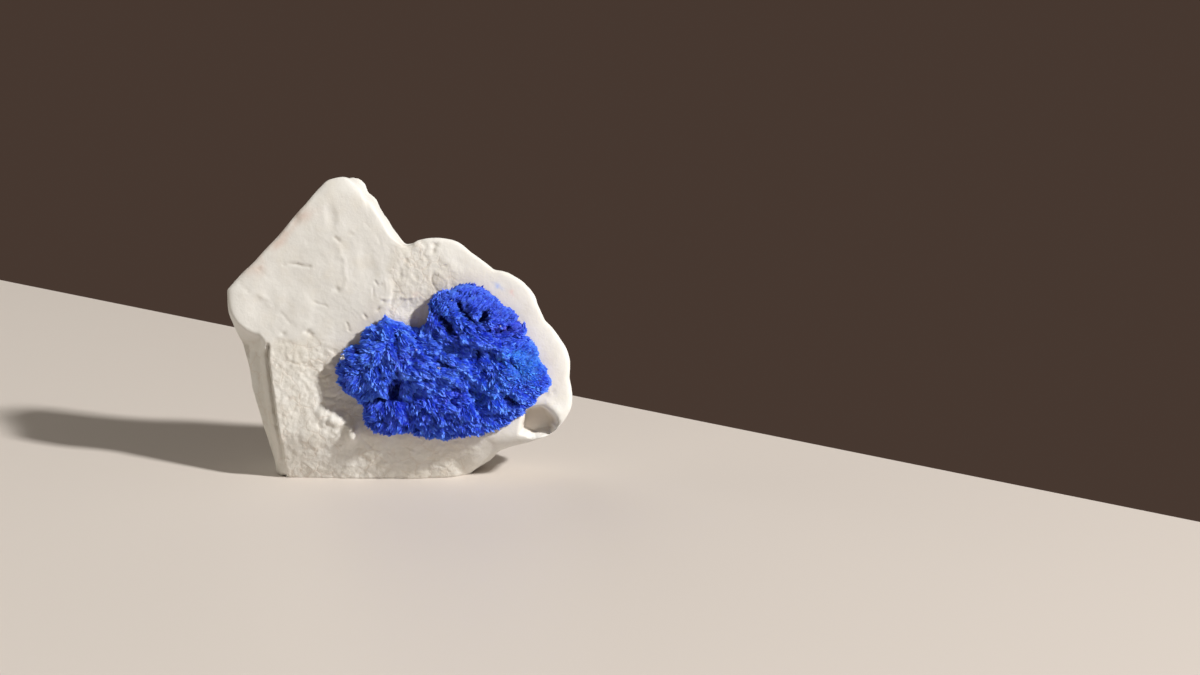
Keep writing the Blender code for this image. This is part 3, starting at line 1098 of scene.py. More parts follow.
    def face_relief(self, place: Array) -> tuple[Array, Array, Array, Array]:
        """The relief of the crystal face.

        Args:
            place: Points of the plain shell.

        Returns:
            How far the face stands out, how far its marks stand out, how much painted shade darkens
            the narrow marks and small pits, and how rough the face is.
        """
        x, z = place[..., 0], place[..., 2]
        smooth = self.smooth_part(place)
        right_part = ease(self.off_ridge(x, z), -5.0, 2.0)
        rough = (1.0 - smooth) * (1.0 - 0.85 * right_part)

        relief = 0.22 * cloud(place, 26.0, 2, 21) + 0.28 * smooth
        relief += smooth * 0.16 * terraces(cloud(place, 12.0, 4, 31), 0.30, 0.16)
        relief += rough * (0.20 * cloud(place, 7.0, 4, 41) + 0.40 * facets(place, 4.6, 0.18, 51))
        pitted = rough * ease(46.0 - z, 0.0, 6.0)
        relief += pitted * facets(place, 2.3, 0.13, 66)
        crease = np.exp(-(cloud(place, 5.0, 3, 67) / 0.05) ** 2)
        relief -= 0.20 * pitted * crease * ease(cloud(place, 7.0, 2, 68), -0.1, 0.4)
        relief -= 0.16 * pitted * ease(cloud(place, 3.1, 3, 62), 0.45, 0.85)
        relief += (0.02 + 0.07 * rough) * cloud(place, 1.6, 2, 61)
        relief += right_part * 0.30 * cloud(place, 14.0, 2, 65)

        wander = 0.35 * np.stack([cloud(place, 3.0, 2, 71), cloud(place, 3.0, 2, 81)])
        broken = 0.35 + 0.65 * ease(cloud(place, 1.8, 2, 91), -0.5, 0.3)
        carved = np.zeros_like(x)
        # cavity: how much painted shade darkens the narrow cracks and small pits
        cavity = np.zeros_like(x)
        for mark in self.marks:
            near = path_distance(x + wander[0], z + wander[1], mark.path)
            shape = np.exp(-(near / mark.width) ** 2) * broken
            carved -= 0.65 * mark.depth * shape
            narrow = 1.0 if mark.width < 0.46 else 0.0
            cavity = np.maximum(cavity, narrow * max(mark.depth, 0.0) * shape)
        ragged = 0.5 * np.stack([cloud(place, 5.0, 2, 72), cloud(place, 5.0, 2, 82)])
        carved -= self.scoop.depth * self.scoop.shape(x + ragged[0], z + ragged[1])
        for dent in self.dents:
            shape = dent.shape(x + 0.6 * wander[0], z + 0.6 * wander[1])
            carved -= dent.depth * shape
            small = 0.8 if dent.half[0] < 1.2 else 0.0
            cavity = np.maximum(cavity, small * max(dent.depth, 0.0) * shape)
        return relief, carved, cavity, rough

    def stone_relief(self, place: Array) -> Array:
        """The relief of the broken back and rim: large and small facets with a soft grain.

        Args:
            place: Points, with x, y and z along the last axis.

        Returns:
            How far the stone stands out at each point.
        """
        large = facets(place, 17.0, 0.14, 101) + facets(place, 7.0, 0.10, 111)
        steps = 0.5 * terraces(cloud(place, 18.0, 3, 121), 0.4, 0.2)
        return large + steps + 0.30 * cloud(place, 6.0, 2, 131)

    def smudge(self, place: Array, centre: Point, half: Point, seed: int) -> Array:
        """A faint powdery smear: an oval that fades out, broken up by noise."""
        shape = Dent(centre, half, -35.0, 1.0).shape(place[..., 0], place[..., 2])
        return shape * ease(cloud(place, 1.4, 3, seed), -0.7, 0.5)

    def surface(self) -> tuple[Array, dict[str, Array]]:
        """The finished grid of points and the fields of the stone's stains.

        Returns:
            The points, and the fields by name.
        """
        shell = self.shell(self.columns, self.rows)
        y = self.sheet(shell.x, shell.z, shell.depth, shell.side)
        place = np.stack((shell.x, y, shell.z), axis=-1)
        normals = grid_normals(place)

        in_front = (shell.side < 0.0) * ease(shell.depth, 0.25, 0.75)
        face, carved, cavity, rough = self.face_relief(place)
        crisp_part = ease(shell.z - 0.5 * shell.x, 55.0, 75.0)
        stone = self.stone_relief(place) * np.where(
            shell.side < 0.0, 1.0 - 0.85 * crisp_part * ease(shell.depth, 0.0, 0.5), 1.0)
        right_rim = ease(shell.x + 0.5 * shell.z, 30.0, 42.0) * (shell.side < 0.0)
        stone = stone * (1.0 - 0.85 * right_rim)
        stone = stone + 0.08 * cloud(place, 2.0, 3, 141) * (1.0 - ease(shell.depth, 0.3, 0.8))
        push = in_front * face + (1.0 - in_front) * 0.8 * stone
        away = np.stack((np.zeros_like(y), -np.ones_like(y), np.zeros_like(y)), axis=-1)
        direction = unit(in_front[..., None] * away + (1.0 - in_front[..., None]) * normals)
        place = place + push[..., None] * direction
        place[..., 1] -= carved * (shell.side < 0.0) * ease(shell.depth, 0.05, 0.30)
        place[..., 2] = np.maximum(place[..., 2], 0.0)

        edge = path_distance(shell.x, shell.z, ((-24.0, 92.0), (-37.5, 78.0), (-51.0, 64.5)))
        width = 4.0 + 2.5 * cloud(place, 9.0, 2, 181)
        scoop = self.scoop.shape(shell.x, shell.z)
        away_x, away_z = shell.x - ROSETTE.centre[0], shell.z - ROSETTE.centre[1]
        beside = np.hypot(away_x, away_z) - ROSETTE.reach(np.arctan2(away_z, away_x))
        fields = {
            "rough": rough * in_front + 0.35 * (1.0 - in_front),
            # painted shade in the face's narrow cracks and small pits
            "cavity": cavity * in_front,
            "stain": (1.0 - ease(edge - width, -1.5, 2.5)) * ease(shell.z, 63.0, 70.0)
            * (1.0 - ease(shell.z, 84.0, 88.0)),
            # painted light: shade in the scoop, and a warm tint round the rosette against its blue
            # bounce light
            "warm": in_front * np.maximum(0.52 * scoop, 0.25 * (1.0 - ease(beside, 0.0, 9.0))),
            "blue_dust": 0.95 * in_front * self.smudge(place, (31.6, 62.6), (1.7, 0.8), 161),
            "red_dust": 0.85 * in_front * np.maximum(
                self.smudge(place, (36.6, 60.4), (1.2, 0.6), 171),
                0.35 * self.smudge(place, (6.8, 59.4), (2.2, 1.2), 172)),
        }
        return place, fields

    def shift(self) -> Array:
        """From the stone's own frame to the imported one, by the middles of the two boxes.

        Returns:
            The offset, in millimetres.
        """
        coarse = self.shell(self.solid_columns, self.solid_rows)
        y = self.sheet(coarse.x, coarse.z, coarse.depth, coarse.side)
        standing = coarse.z >= 0.0
        low, high = (np.array(corner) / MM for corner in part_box("kaolin_matrix"))
        own_x, own_y = coarse.x[standing], y[standing]
        own = np.array((own_x.min() + own_x.max(), own_y.min() + own_y.max())) / 2.0
        across, back = (low + high)[:2] / 2.0 - own
        LOG.info("the stone moves %.3f mm across and %.3f mm back", across, back)
        return np.array((across, back, 0.0))

    def build(self, finish: bpy.types.Material) -> bpy.types.Object:
        """Builds the slab's skin, which stands for its CAD node.

        Args:
            finish: The kaolin material.

        Returns:
            The skin.
        """
        place, fields = self.surface()
        rows, columns = place.shape[:2]
        points = (grid_values(place) + self.shift()) * MM
        fields = {label: grid_values(values) for label, values in fields.items()}
        skin = make_mesh("kaolin_skin", points, grid_faces(rows, columns), True, fields)
        skin.data.materials.append(finish)
        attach(skin, BODY)
        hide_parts("kaolin_matrix")
        return skin


# ---------------------------------------------------------------------------------------------
# The rosette
# ---------------------------------------------------------------------------------------------


@dataclass(frozen=True)
class Lobe:
    """A rounded lobe of the rosette, in millimetres.

    Attributes:
        name: The name of its mesh of blades.
        centre: Its middle, as (x, z).
        half: Its half width and half height.
        rise: How far its tips stand out from the slab.
        bright: How bright its crystals are painted against the others': painted light and shade for
            how the light falls on the lobe.
    """

    name: str
    centre: Point
    half: Point
    rise: float
    bright: float = 1.0

    def off(self, x: Array, z: Array) -> Array:
        """The squared distance from its middle, which is 1 on its edge."""
        return (((x - self.centre[0]) / self.half[0]) ** 2
                + ((z - self.centre[1]) / self.half[1]) ** 2)


@dataclass(frozen=True)
class Spray:
    """A small spray of crystals at one place on the rosette, in millimetres.

    Attributes:
        root: Where it grows, as (x, z).
        toward: The way that it points.
        wild: How far its crystals stray from that way.
        count: How many crystals it has.
        length: The length of its longest crystal.
        width: Their width.
    """

    root: Point
    toward: tuple[float, float, float]
    wild: float
    count: int
    length: float
    width: float


@dataclass(frozen=True)
class Crystals:
    """Many crystals of one shape: each has a root, a way it points, and its own sizes.

    Attributes:
        root: The middle of each crystal's root.
        along: The way each points.
        across: The way each one's broad side runs.
        size: The length, width and thickness of each.
    """

    root: Array
    along: Array
    across: Array
    size: Array

    def points(self) -> Array:
        """Seven points a crystal: a three-cornered root and shoulder, and a tip to one side.

        A point is the root plus shares of the length, width and thickness along three directions
        at right angles, the last of which points outwards.

        Returns:
            The points of each crystal, along the second axis.
        """
        shape = np.array((
            (0.00, -0.42, -0.4), (0.00, 0.42, -0.4), (0.00, 0.00, 0.6),
            (0.74, -0.50, -0.4), (0.66, 0.50, -0.4), (0.70, 0.00, 0.6), (1.00, -0.16, -0.1)))
        out = np.cross(self.along, self.across)
        axes = np.stack((self.along, self.across, out), axis=1)
        steps = shape[None, :, :] * self.size[:, None, :]
        return self.root[:, None, :] + steps @ axes

    def faces(self) -> list:
        """Three quads and four triangles a crystal, facing outwards.

        Returns:
            Lists of point numbers, one for each face.
        """
        quads = np.array(((0, 1, 4, 3), (1, 2, 5, 4), (2, 0, 3, 5)))
        triangles = np.array(((0, 2, 1), (3, 4, 6), (4, 5, 6), (5, 3, 6)))
        first = 7 * np.arange(len(self.root))[:, None, None]
        return (first + quads).reshape(-1, 4).tolist() + (first + triangles).reshape(-1, 3).tolist()

    def some(self, chosen: Array) -> "Crystals":
        """The chosen crystals."""
        return Crystals(self.root[chosen], self.along[chosen], self.across[chosen],
                        self.size[chosen])


@dataclass
class Rosette:
    """The azurite rosette, in millimetres in the stone's own frame."""

    slab: Slab
    outline: Outline = ROSETTE
    rim: tuple[Point, ...] = ((0.0, 5.0), (120.0, 5.0), (175.0, 3.4), (250.0, 3.4), (300.0, 5.0))
    # The last number of each lobe is painted light and shade: it brightens or darkens its crystals
    # for how the light falls on that lobe.
    lobes: tuple[Lobe, ...] = (
        Lobe("upper_blades", (25.0, 53.0), (16.0, 12.5), 10.5, 0.80),
        Lobe("left_blades", (-4.0, 40.0), (15.5, 15.0), 9.5, 1.30),
        Lobe("middle_blades", (12.5, 38.5), (13.0, 11.0), 9.0, 1.45),
        Lobe("right_blades", (36.0, 36.5), (13.0, 13.5), 10.0, 1.12),
        Lobe("corner_blades", (-3.0, 24.5), (8.0, 8.0), 8.0, 0.74),
        Lobe("lower_blades", (18.5, 25.5), (17.5, 10.0), 8.0, 0.90),
    )
    ridges: tuple[Mark, ...] = (
        Mark(((-3.9, 53.6), (-3.6, 51.5), (-3.9, 48.0)), 0.8, -1.7),
        Mark(((19.9, 58.8), (20.6, 56.7), (22.5, 54.8), (24.8, 53.4), (27.3, 53.9), (28.0, 55.8)),
             1.15, 4.2),
        Mark(((1.6, 38.6), (4.7, 34.4), (10.2, 33.8)), 1.3, -1.5),
        Mark(((21.1, 48.6), (27.0, 47.0), (33.2, 44.7), (37.2, 42.7)), 1.1, -1.5),
        Mark(((-3.0, 46.5), (-0.6, 42.8), (1.4, 40.2)), 0.8, -0.9),
        Mark(((8.0, 49.2), (14.0, 46.6), (19.4, 41.8)), 1.0, -0.7),
        Mark(((17.6, 50.0), (18.8, 47.4), (19.0, 44.0)), 0.5, -0.9),
        Mark(((19.0, 39.8), (23.8, 36.6), (27.4, 34.4)), 0.7, -0.9),
        Mark(((15.4, 36.8), (20.0, 33.8), (25.0, 32.4)), 0.6, -0.9),
        Mark(((36.3, 40.8), (39.0, 37.2), (38.6, 32.4), (35.6, 30.4)), 0.80, 0.7),
        Mark(((30.4, 33.6), (33.0, 31.4), (37.0, 30.6)), 0.5, 1.2),
        Mark(((-9.6, 47.2), (-5.4, 44.4), (-2.6, 40.6)), 0.45, 1.0),
        Mark(((-14.6, 39.0), (-10.2, 37.8), (-8.6, 35.0)), 0.5, 1.0),
        Mark(((-6.4, 26.8), (-5.6, 23.4), (-2.6, 21.2)), 0.5, 1.2),
        Mark(((12.4, 44.6), (15.4, 44.0), (18.6, 44.2)), 0.4, 1.7),
        Mark(((23.0, 53.6), (20.4, 51.4), (18.8, 50.2)), 0.6, 1.0),
    )
    dents: tuple[Dent, ...] = (
        Dent((16.2, 52.0), (3.9, 1.7), -48.0, 4.4, 3.0),
        Dent((0.3, 48.4), (1.2, 1.8), 0.0, 2.6),
        Dent((-0.2, 32.2), (2.3, 4.2), -18.0, 6.0, 3.0),
        Dent((-4.6, 28.6), (1.5, 1.3), 0.0, 3.6),
        Dent((15.0, 40.4), (2.9, 1.3), -18.0, 3.4, 3.0),
        Dent((5.6, 42.4), (0.7, 1.7), -15.0, 2.0),
        Dent((25.5, 42.9), (1.1, 2.1), -6.0, 3.0),
        Dent((28.9, 42.4), (0.6, 1.6), 20.0, 2.2),
        Dent((33.2, 41.4), (2.0, 0.7), -45.0, 2.4),
        Dent((37.0, 39.8), (1.4, 0.6), -35.0, 2.2),
        Dent((31.7, 50.3), (4.2, 1.9), -8.0, 1.6),
        Dent((28.9, 51.3), (0.8, 0.9), 0.0, 2.2),
        Dent((32.6, 50.1), (0.9, 0.8), 0.0, 2.4),
        Dent((35.0, 50.6), (0.8, 0.9), 0.0, 1.8),
        Dent((35.7, 28.9), (2.8, 1.4), -25.0, 3.0),
        Dent((-5.3, 38.6), (0.9, 0.9), 0.0, 1.4),
        Dent((0.6, 37.6), (0.9, 1.3), 0.0, 1.8),
        Dent((10.8, 53.6), (2.2, 1.4), 0.0, -1.0),
        Dent((24.0, 59.4), (2.3, 2.8), 0.0, -0.4),
        Dent((14.4, 58.6), (3.8, 3.6), 0.0, -0.5),
        Dent((32.0, 57.0), (4.2, 3.6), 0.0, -0.5),
        Dent((-6.6, 45.6), (3.6, 3.0), 0.0, -0.9),
        Dent((-12.0, 41.2), (2.9, 2.5), 0.0, -0.9),
        Dent((-14.0, 35.0), (2.6, 3.0), 0.0, -0.8),
        Dent((-6.2, 34.6), (3.6, 3.0), 0.0, -0.9),
        Dent((7.6, 38.4), (4.8, 2.2), -8.0, -1.0),
        Dent((10.4, 47.6), (4.8, 2.4), -20.0, -0.7),
        Dent((35.0, 36.0), (3.3, 3.3), 0.0, -1.2, 3.0),
        Dent((43.2, 37.4), (2.8, 4.6), 0.0, -0.7),
        Dent((-6.6, 23.6), (2.4, 2.6), 0.0, -0.8),
        Dent((0.4, 24.6), (2.2, 3.2), 0.0, -0.9),
        Dent((23.4, 37.8), (5.0, 2.0), -28.0, -0.6),
        Dent((18.0, 30.6), (5.0, 2.0), -12.0, -0.7),
        Dent((30.0, 27.0), (4.0, 2.2), -20.0, -0.6),
    )
    fine_parts: tuple[Dent, ...] = (        # where the crystals are short and even
        Dent((31.5, 57.0), (6.5, 5.0), 0.0, 1.0),
        Dent((41.5, 38.0), (6.5, 9.0), 0.0, 1.0),
        Dent((14.5, 58.5), (5.0, 3.5), 0.0, 0.7),
        Dent((35.0, 36.0), (3.5, 3.5), 0.0, 0.8),
        Dent((-12.0, 38.0), (5.0, 6.0), 0.0, 0.5),
    )
    # Violet patches low on the left, on the corner and on the left lobe's lower side, are painted
    # shade; the azure patch on the right lobe is partly painted highlight; the rest are the
    # crystal's own tints.
    tint_and_shade_patches: tuple[Dent, ...] = (       # azure above 0 and violet below it
        Dent((38.5, 40.0), (7.0, 6.0), 0.0, 0.26),
        Dent((37.5, 43.4), (2.6, 0.8), 0.0, 0.30),
        Dent((14.0, 56.0), (4.0, 6.0), 0.0, 0.14),
        Dent((33.0, 50.5), (5.0, 2.0), -12.0, -0.20),
        Dent((39.0, 51.5), (2.4, 3.4), 30.0, -0.18),
        Dent((-3.0, 23.0), (7.0, 6.0), 0.0, -0.24),
        Dent((9.5, 53.0), (3.0, 2.0), 0.0, -0.26),
        Dent((-15.0, 33.0), (5.0, 6.0), 0.0, -0.22),
    )
    sprays: tuple[Spray, ...] = (
        Spray((-3.8, 52.4), (0.02, -0.20, 1.0), 0.14, 22, 2.4, 0.7),
        Spray((39.8, 50.2), (0.05, -0.20, 1.0), 0.20, 8, 2.5, 0.7),
        Spray((40.0, 49.4), (0.85, -0.20, 0.35), 0.22, 8, 2.0, 0.7),
        Spray((9.6, 57.8), (-0.9, -0.35, 0.2), 0.30, 18, 1.6, 0.5),
        Spray((40.8, 46.6), (0.8, -0.5, 0.6), 0.40, 22, 1.7, 0.5),
        Spray((-16.4, 43.0), (-0.8, -0.4, 0.5), 0.30, 16, 1.5, 0.5),
    )
    grains: tuple[Spray, ...] = (
        Spray((17.4, 61.8), (0.3, -1.0, 0.4), 0.5, 3, 1.0, 0.7),
        Spray((17.9, 59.8), (0.3, -1.0, 0.4), 0.5, 2, 0.8, 0.5),
        Spray((6.4, 44.3), (0.3, -1.0, 0.4), 0.5, 3, 1.0, 0.6),
        Spray((13.4, 39.4), (0.2, -1.0, 0.3), 0.4, 3, 1.1, 0.7),
        Spray((32.4, 52.7), (0.3, -1.0, 0.4), 0.5, 2, 1.0, 0.7),
        Spray((37.9, 49.6), (0.3, -1.0, 0.4), 0.5, 2, 0.8, 0.5),
        Spray((-11.4, 32.4), (0.3, -1.0, 0.4), 0.5, 2, 0.9, 0.6),
        Spray((-16.2, 41.4), (-0.4, -0.8, 0.4), 0.6, 7, 1.9, 1.1),
        Spray((41.7, 44.2), (0.3, -1.0, 0.4), 0.5, 2, 0.7, 0.5),
        Spray((23.6, 32.6), (0.3, -1.0, 0.4), 0.5, 2, 0.7, 0.4),
        Spray((27.0, 32.6), (0.3, -1.0, 0.4), 0.5, 2, 0.6, 0.4),
    )
    standoff: float = 3.0        # how far the tips at the edge stand off the slab
    valley: float = 2.6
    blade_reach: float = 0.8     # how far tips stand out from the crust
    sunk: float = 0.9            # how far the crust's inner face sinks into the slab
    sheaf: float = 3.6           # across one sheaf of parallel crystals
    crystals: int = 54000
    columns: int = 420
    rows: tuple[int, int] = (196, 14)

    def grain(self, x: Array, z: Array) -> tuple[Array, Array]:
        """The way that the crystals lean: down to the right inside, and outwards near the edge.

        Args:
            x: Distances to the right of the stone's middle.
            z: Heights.

        Returns:
            The x and z of the lean, as a unit vector.
        """
        away_x, away_z = x - self.outline.centre[0], z - self.outline.centre[1]
        distance = np.maximum(np.hypot(away_x, away_z), 1e-6)
        share = np.clip(distance / self.outline.reach(np.arctan2(away_z, away_x)), 0.0, 1.0) ** 3
        lean_x = 0.72 * (1.0 - share) + 1.3 * share * away_x / distance
        lean_z = -0.60 * (1.0 - share) + 1.3 * share * away_z / distance
        length = np.hypot(lean_x, lean_z)
        return lean_x / length, lean_z / length

    def sheaves(self, x: Array, z: Array) -> tuple[Array, Array, Array]:
        """Sheaves of parallel crystals: long cells of a scattered pattern, each with its own lie.

        A point belongs to the cell whose middle is nearest, where distance along the cell's lean
        counts for less.  Its height is the cell's own lift, plus a rise along the lean, plus
        combed noise that varies only across the lean, less a gap at the cell's border.

        Args:
            x: Distances to the right of the stone's middle.
            z: Heights.

        Returns:
            The height, and the x and z of the lean.
        """
        nearest = np.full(x.shape, np.inf)
        second = np.full(x.shape, np.inf)
        height, lean_x, lean_z = np.zeros_like(x), np.zeros_like(x), np.zeros_like(x)
        base = np.floor(np.stack((x, z), axis=-1) / self.sheaf)
        for offset in np.ndindex(5, 5):
            cell = np.zeros((*x.shape, 3))
            cell[..., :2] = base + np.array(offset) - 2.0
            middle_x = (cell[..., 0] + cell_value(cell, 301)) * self.sheaf
            middle_z = (cell[..., 1] + cell_value(cell, 302)) * self.sheaf
            own_x, own_z = self.grain(middle_x, middle_z)
            turn = cell_value(cell, 303) - 0.5
            cos, sin = np.cos(turn), np.sin(turn)
            own_x, own_z = own_x * cos - own_z * sin, own_x * sin + own_z * cos
            along = (x - middle_x) * own_x + (z - middle_z) * own_z
            over = (z - middle_z) * own_x - (x - middle_x) * own_z
            distance = np.hypot(along / 1.3, over / 0.8)
            comb = noise(np.stack((over, 0.2 * along, middle_x), axis=-1), 0.8, 305)
            own = 1.4 * (cell_value(cell, 304) - 0.5) + 0.30 * along + 0.30 * comb
            closer = distance < nearest
            second = np.where(closer, nearest, np.minimum(second, distance))
            height = np.where(closer, own, height)
            lean_x = np.where(closer, own_x, lean_x)
            lean_z = np.where(closer, own_z, lean_z)
            nearest = np.where(closer, distance, nearest)
        gap = 1.1 * (1.0 - ease(second - nearest, 0.0, 0.45))
        return height - gap, lean_x, lean_z

    def fineness(self, x: Array, z: Array) -> Array:
        """How short and even the crystals are, from 0 to 1."""
        shares = [part.depth * part.shape(x, z) for part in self.fine_parts]
        return np.clip(np.sum(shares, axis=0), 0.0, 1.0)

    def hollow(self, x: Array, z: Array) -> Array:
        """How deep inside a named hollow a place is, from 0 to 1.

        Args:
            x: Distances to the right of the stone's middle.
            z: Heights.

        Returns:
            One value for each place.
        """
        shares = [dent.depth * dent.shape(x, z) for dent in self.dents if dent.depth > 1.5]
        for ridge in self.ridges:
            if ridge.depth > 1.5:
                near = path_distance(x, z, ridge.path) / ridge.width
                shares.append(ridge.depth * np.exp(-near ** 2))
        return np.clip(np.sum(shares, axis=0) / 3.0, 0.0, 1.0)

    def height(self, x: Array, z: Array, place: Array) -> Array:
        """How far the crust stands off the slab: domed lobes, broken by hollows and ledges.

        Args:
            x: Distances to the right of the stone's middle.
            z: Heights.
            place: The same places as points on the slab's face, where noise is read.

        Returns:
            The height of the crust at each place.
        """
        height = np.full_like(x, self.valley)
        for lobe in self.lobes:
            dome = lobe.rise * np.sqrt(np.clip(1.0 - 0.78 * lobe.off(x, z), 0.0, None))
            height = smooth_max(height, dome, 0.7)
        bent = 0.5 * np.stack([cloud(place, 3.0, 2, 211), cloud(place, 3.0, 2, 221)])
        for ridge in self.ridges:
            near = path_distance(x + bent[0], z + bent[1], ridge.path)
            height -= ridge.depth * np.exp(-(near / ridge.width) ** 2)
        for dent in self.dents:
            height -= dent.depth * dent.shape(x + bent[0], z + bent[1])
        coarse = 1.0 - 0.72 * self.fineness(x, z)
        height += coarse * terraces(cloud(place, 6.0, 3, 231), 0.5, 0.25)
        height += coarse * self.sheaves(x, z)[0]
        height += 0.24 * cloud(place, 1.4, 3, 241)
        return np.maximum(height - self.blade_reach, 0.5)

    def crust(self) -> tuple[Array, Array]:
        """The crust's grid of points, and how far each one stands out from those around it.

        Returns:
            The points, and how proud each one is.
        """
        shell = Shell.around(self.outline, self.outline, (self.rim, self.rim), 0.86, self.columns,
                             self.rows)
        middle_x, middle_z = self.outline.centre
        distance = np.maximum(np.hypot(shell.x - middle_x, shell.z - middle_z), 5.0)
        place = np.stack((shell.x, np.zeros_like(shell.x), shell.z), axis=-1)
        ragged = 0.7 - 0.6 * cloud(place, 2.4, 3, 251)
        inset = 1.0 - ragged * shell.radius ** 6 / distance
        x = middle_x + (shell.x - middle_x) * inset
        z = middle_z + (shell.z - middle_z) * inset
        slab_y = self.slab.front(x, z)
        place = np.stack((x, slab_y, z), axis=-1)
        reach = np.where(shell.side < 0.0, self.height(x, z, place), -self.sunk)
        edge = 0.75 * self.standoff
        y = slab_y - edge - (reach - edge) * shell.depth
        proud = (eased_rows(y, 24) - y) * (shell.side < 0.0)
        return np.stack((x, y, z), axis=-1), proud

    def roots(self, surface: Array, random: np.random.Generator) -> Array:
        """Crystal roots scattered evenly over the crust's front.

        A face of the grid is drawn by its area, and a point in it by two even random shares.

        Args:
            surface: Points, normals and how proud each is, side by side in the last axis.
            random: The source of random numbers.

        Returns:
            The same values at each root.
        """
        after = np.roll(surface, -1, axis=1)
        corner, down, across = surface[:-1], surface[1:], after[:-1]
        area = np.linalg.norm(np.cross((down - corner)[..., :3], (across - corner)[..., :3]),
                              axis=-1)
        area[self.rows[0] + 1:] = 0.0
        area = area * (0.2 + 0.8 * ease(corner[..., 6], -1.0, -0.1))
        area = area * (1.0 - 0.75 * self.hollow(corner[..., 0], corner[..., 2]))
        chosen = random.choice(area.size, self.crystals, p=area.ravel() / area.sum())
        row, column = np.unravel_index(chosen, area.shape)
        share = random.random((2, self.crystals, 1))
        start, end = surface[row, column], after[row, column]
        low_start, low_end = surface[row + 1, column], after[row + 1, column]
        top = start + share[0] * (end - start)
        bottom = low_start + share[0] * (low_end - low_start)
        return top + share[1] * (bottom - top)

    def grow(self, roots: Array, random: np.random.Generator) -> tuple[Crystals, Array]:
        """Grows the crystals: each leans with its sheaf and lies with its broad side outwards.

        Args:
            roots: Points, normals and how proud each is.
            random: The source of random numbers.

        Returns:
            The crystals, and how proud each one's root is.
        """
        count = len(roots)
        place, normal, proud = roots[:, :3], unit(roots[:, 3:6]), roots[:, 6]
        x, z = place[:, 0], place[:, 2]
        _, lean_x, lean_z = self.sheaves(x, z)
        fine = self.fineness(x, z)
        lean = np.stack((lean_x, np.zeros(count), lean_z), axis=-1)
        lean = unit(lean - normal * np.sum(lean * normal, axis=-1, keepdims=True))
        steep = (random.uniform(0.02, 0.34, count) + 0.30 * fine)[:, None]
        wild = random.normal(0.0, 0.07, (count, 3)) * (1.0 + 2.0 * fine)[:, None]
        along = unit(steep * normal + (1.0 - steep) * lean + wild)
        roll = random.normal(0.0, 0.25, (count, 3))
        across = unit(np.cross(normal + roll, along))
        length = (0.8 + 1.6 * random.random(count) ** 1.4) * (1.0 - 0.5 * fine)
        length = length * (0.45 + 0.55 * ease(proud, -0.6, 0.2))
        width = random.uniform(0.17, 0.31, count)
        thickness = random.uniform(0.40, 0.80, count)
        size = np.stack((length, width, thickness), axis=-1)
        root = place - 0.35 * along + random.uniform(-0.50, 0.10, (count, 1)) * normal
        return Crystals(root, along, across, size), proud

    def spray(self, sprays: tuple[Spray, ...], surface: Array,
              random: np.random.Generator) -> Crystals:
        """Crystals of named sprays, rooted on the crust's nearest point.

        Args:
            sprays: The sprays.
            surface: The crust's front points.
            random: The source of random numbers.

        Returns:
            The crystals of all of them.
        """
        parts = []
        for spray in sprays:
            gap = np.hypot(surface[:, 0] - spray.root[0], surface[:, 2] - spray.root[1])
            foot = surface[np.argmin(gap)]
            along = unit(np.array(spray.toward) + random.normal(0.0, spray.wild, (spray.count, 3)))
            across = unit(np.cross(random.normal(0.0, 1.0, (spray.count, 3)), along))
            root = foot + random.normal(0.0, 0.35 * spray.width, (spray.count, 3)) - 0.3 * along
            length = spray.length * random.uniform(0.55, 1.0, spray.count)
            width = spray.width * random.uniform(0.6, 1.0, spray.count)
            size = np.stack((length, width, 0.6 * width), axis=-1)
            parts.append((root, along, across, size))
        return Crystals(*(np.concatenate(values) for values in zip(*parts)))

    def lobe_of(self, root: Array) -> Array:
        """The number of the lobe that each root is deepest inside."""
        off = np.stack([lobe.off(root[:, 0], root[:, 2]) for lobe in self.lobes])
        return np.argmin(off, axis=0)

    def hue(self, place: Array) -> Array:
        """From violet (0) over blue (0.5) to azure (1), in soft patches, some of which are painted
        shade and highlight.

        Args:
            place: Points, with x, y and z along the last axis.

        Returns:
            The hue at each point.
        """
        x, z = place[..., 0], place[..., 2]
        hue = 0.5 + 0.16 * cloud(place, 8.0, 3, 261)
        for patch in self.tint_and_shade_patches:
            hue += patch.depth * patch.shape(x, z)
        return hue

    def blades(self, name: str, crystals: Crystals, tip: Array, hue: Array,
               random: np.random.Generator) -> bpy.types.Object:
        """One mesh of crystals, with the fields of their finish.

        Args:
            name: The mesh's name.
            crystals: The crystals.
            tip: The painted light and shade of each crystal's root and tip, as two columns.
            hue: Each crystal's hue.
            random: The source of random numbers.

        Returns:
            The mesh object.
        """
        points = crystals.points()
        count, corners = points.shape[:2]
        share = np.array((0.0, 0.0, 0.0, 0.7, 0.7, 0.7, 1.0))
        tone = np.clip(0.5 + 0.25 * cloud(crystals.root, 3.0, 2, 271)
                       + random.normal(0.0, 0.28, count), 0.0, 1.0)
        columns = {"tip": tip[:, :1] + (tip[:, 1:] - tip[:, :1]) * share}
        for label, values in (("tone", tone), ("hue", hue), ("dull", random.random(count))):
            columns[label] = np.repeat(values[:, None], corners, axis=1)
        fields = {label: values.ravel() for label, values in columns.items()}
        points = (points.reshape(-1, 3) + self.slab.shift()) * MM
        return make_mesh(name, points, crystals.faces(), False, fields)

    def build(self, finish: bpy.types.Material, pale: bpy.types.Material) -> list:
        """Builds the crust, which stands for its CAD node, the crystals and the pale grains.

        Args:
            finish: The azurite material.
            pale: The kaolin material, for the grains caught among the crystals.

        Returns:
            Every piece.
        """
        random = np.random.default_rng(20)
        place, proud = self.crust()
        normals = grid_normals(place)
        hue = self.hue(place)
        hollow = self.hollow(place[..., 0], place[..., 2])
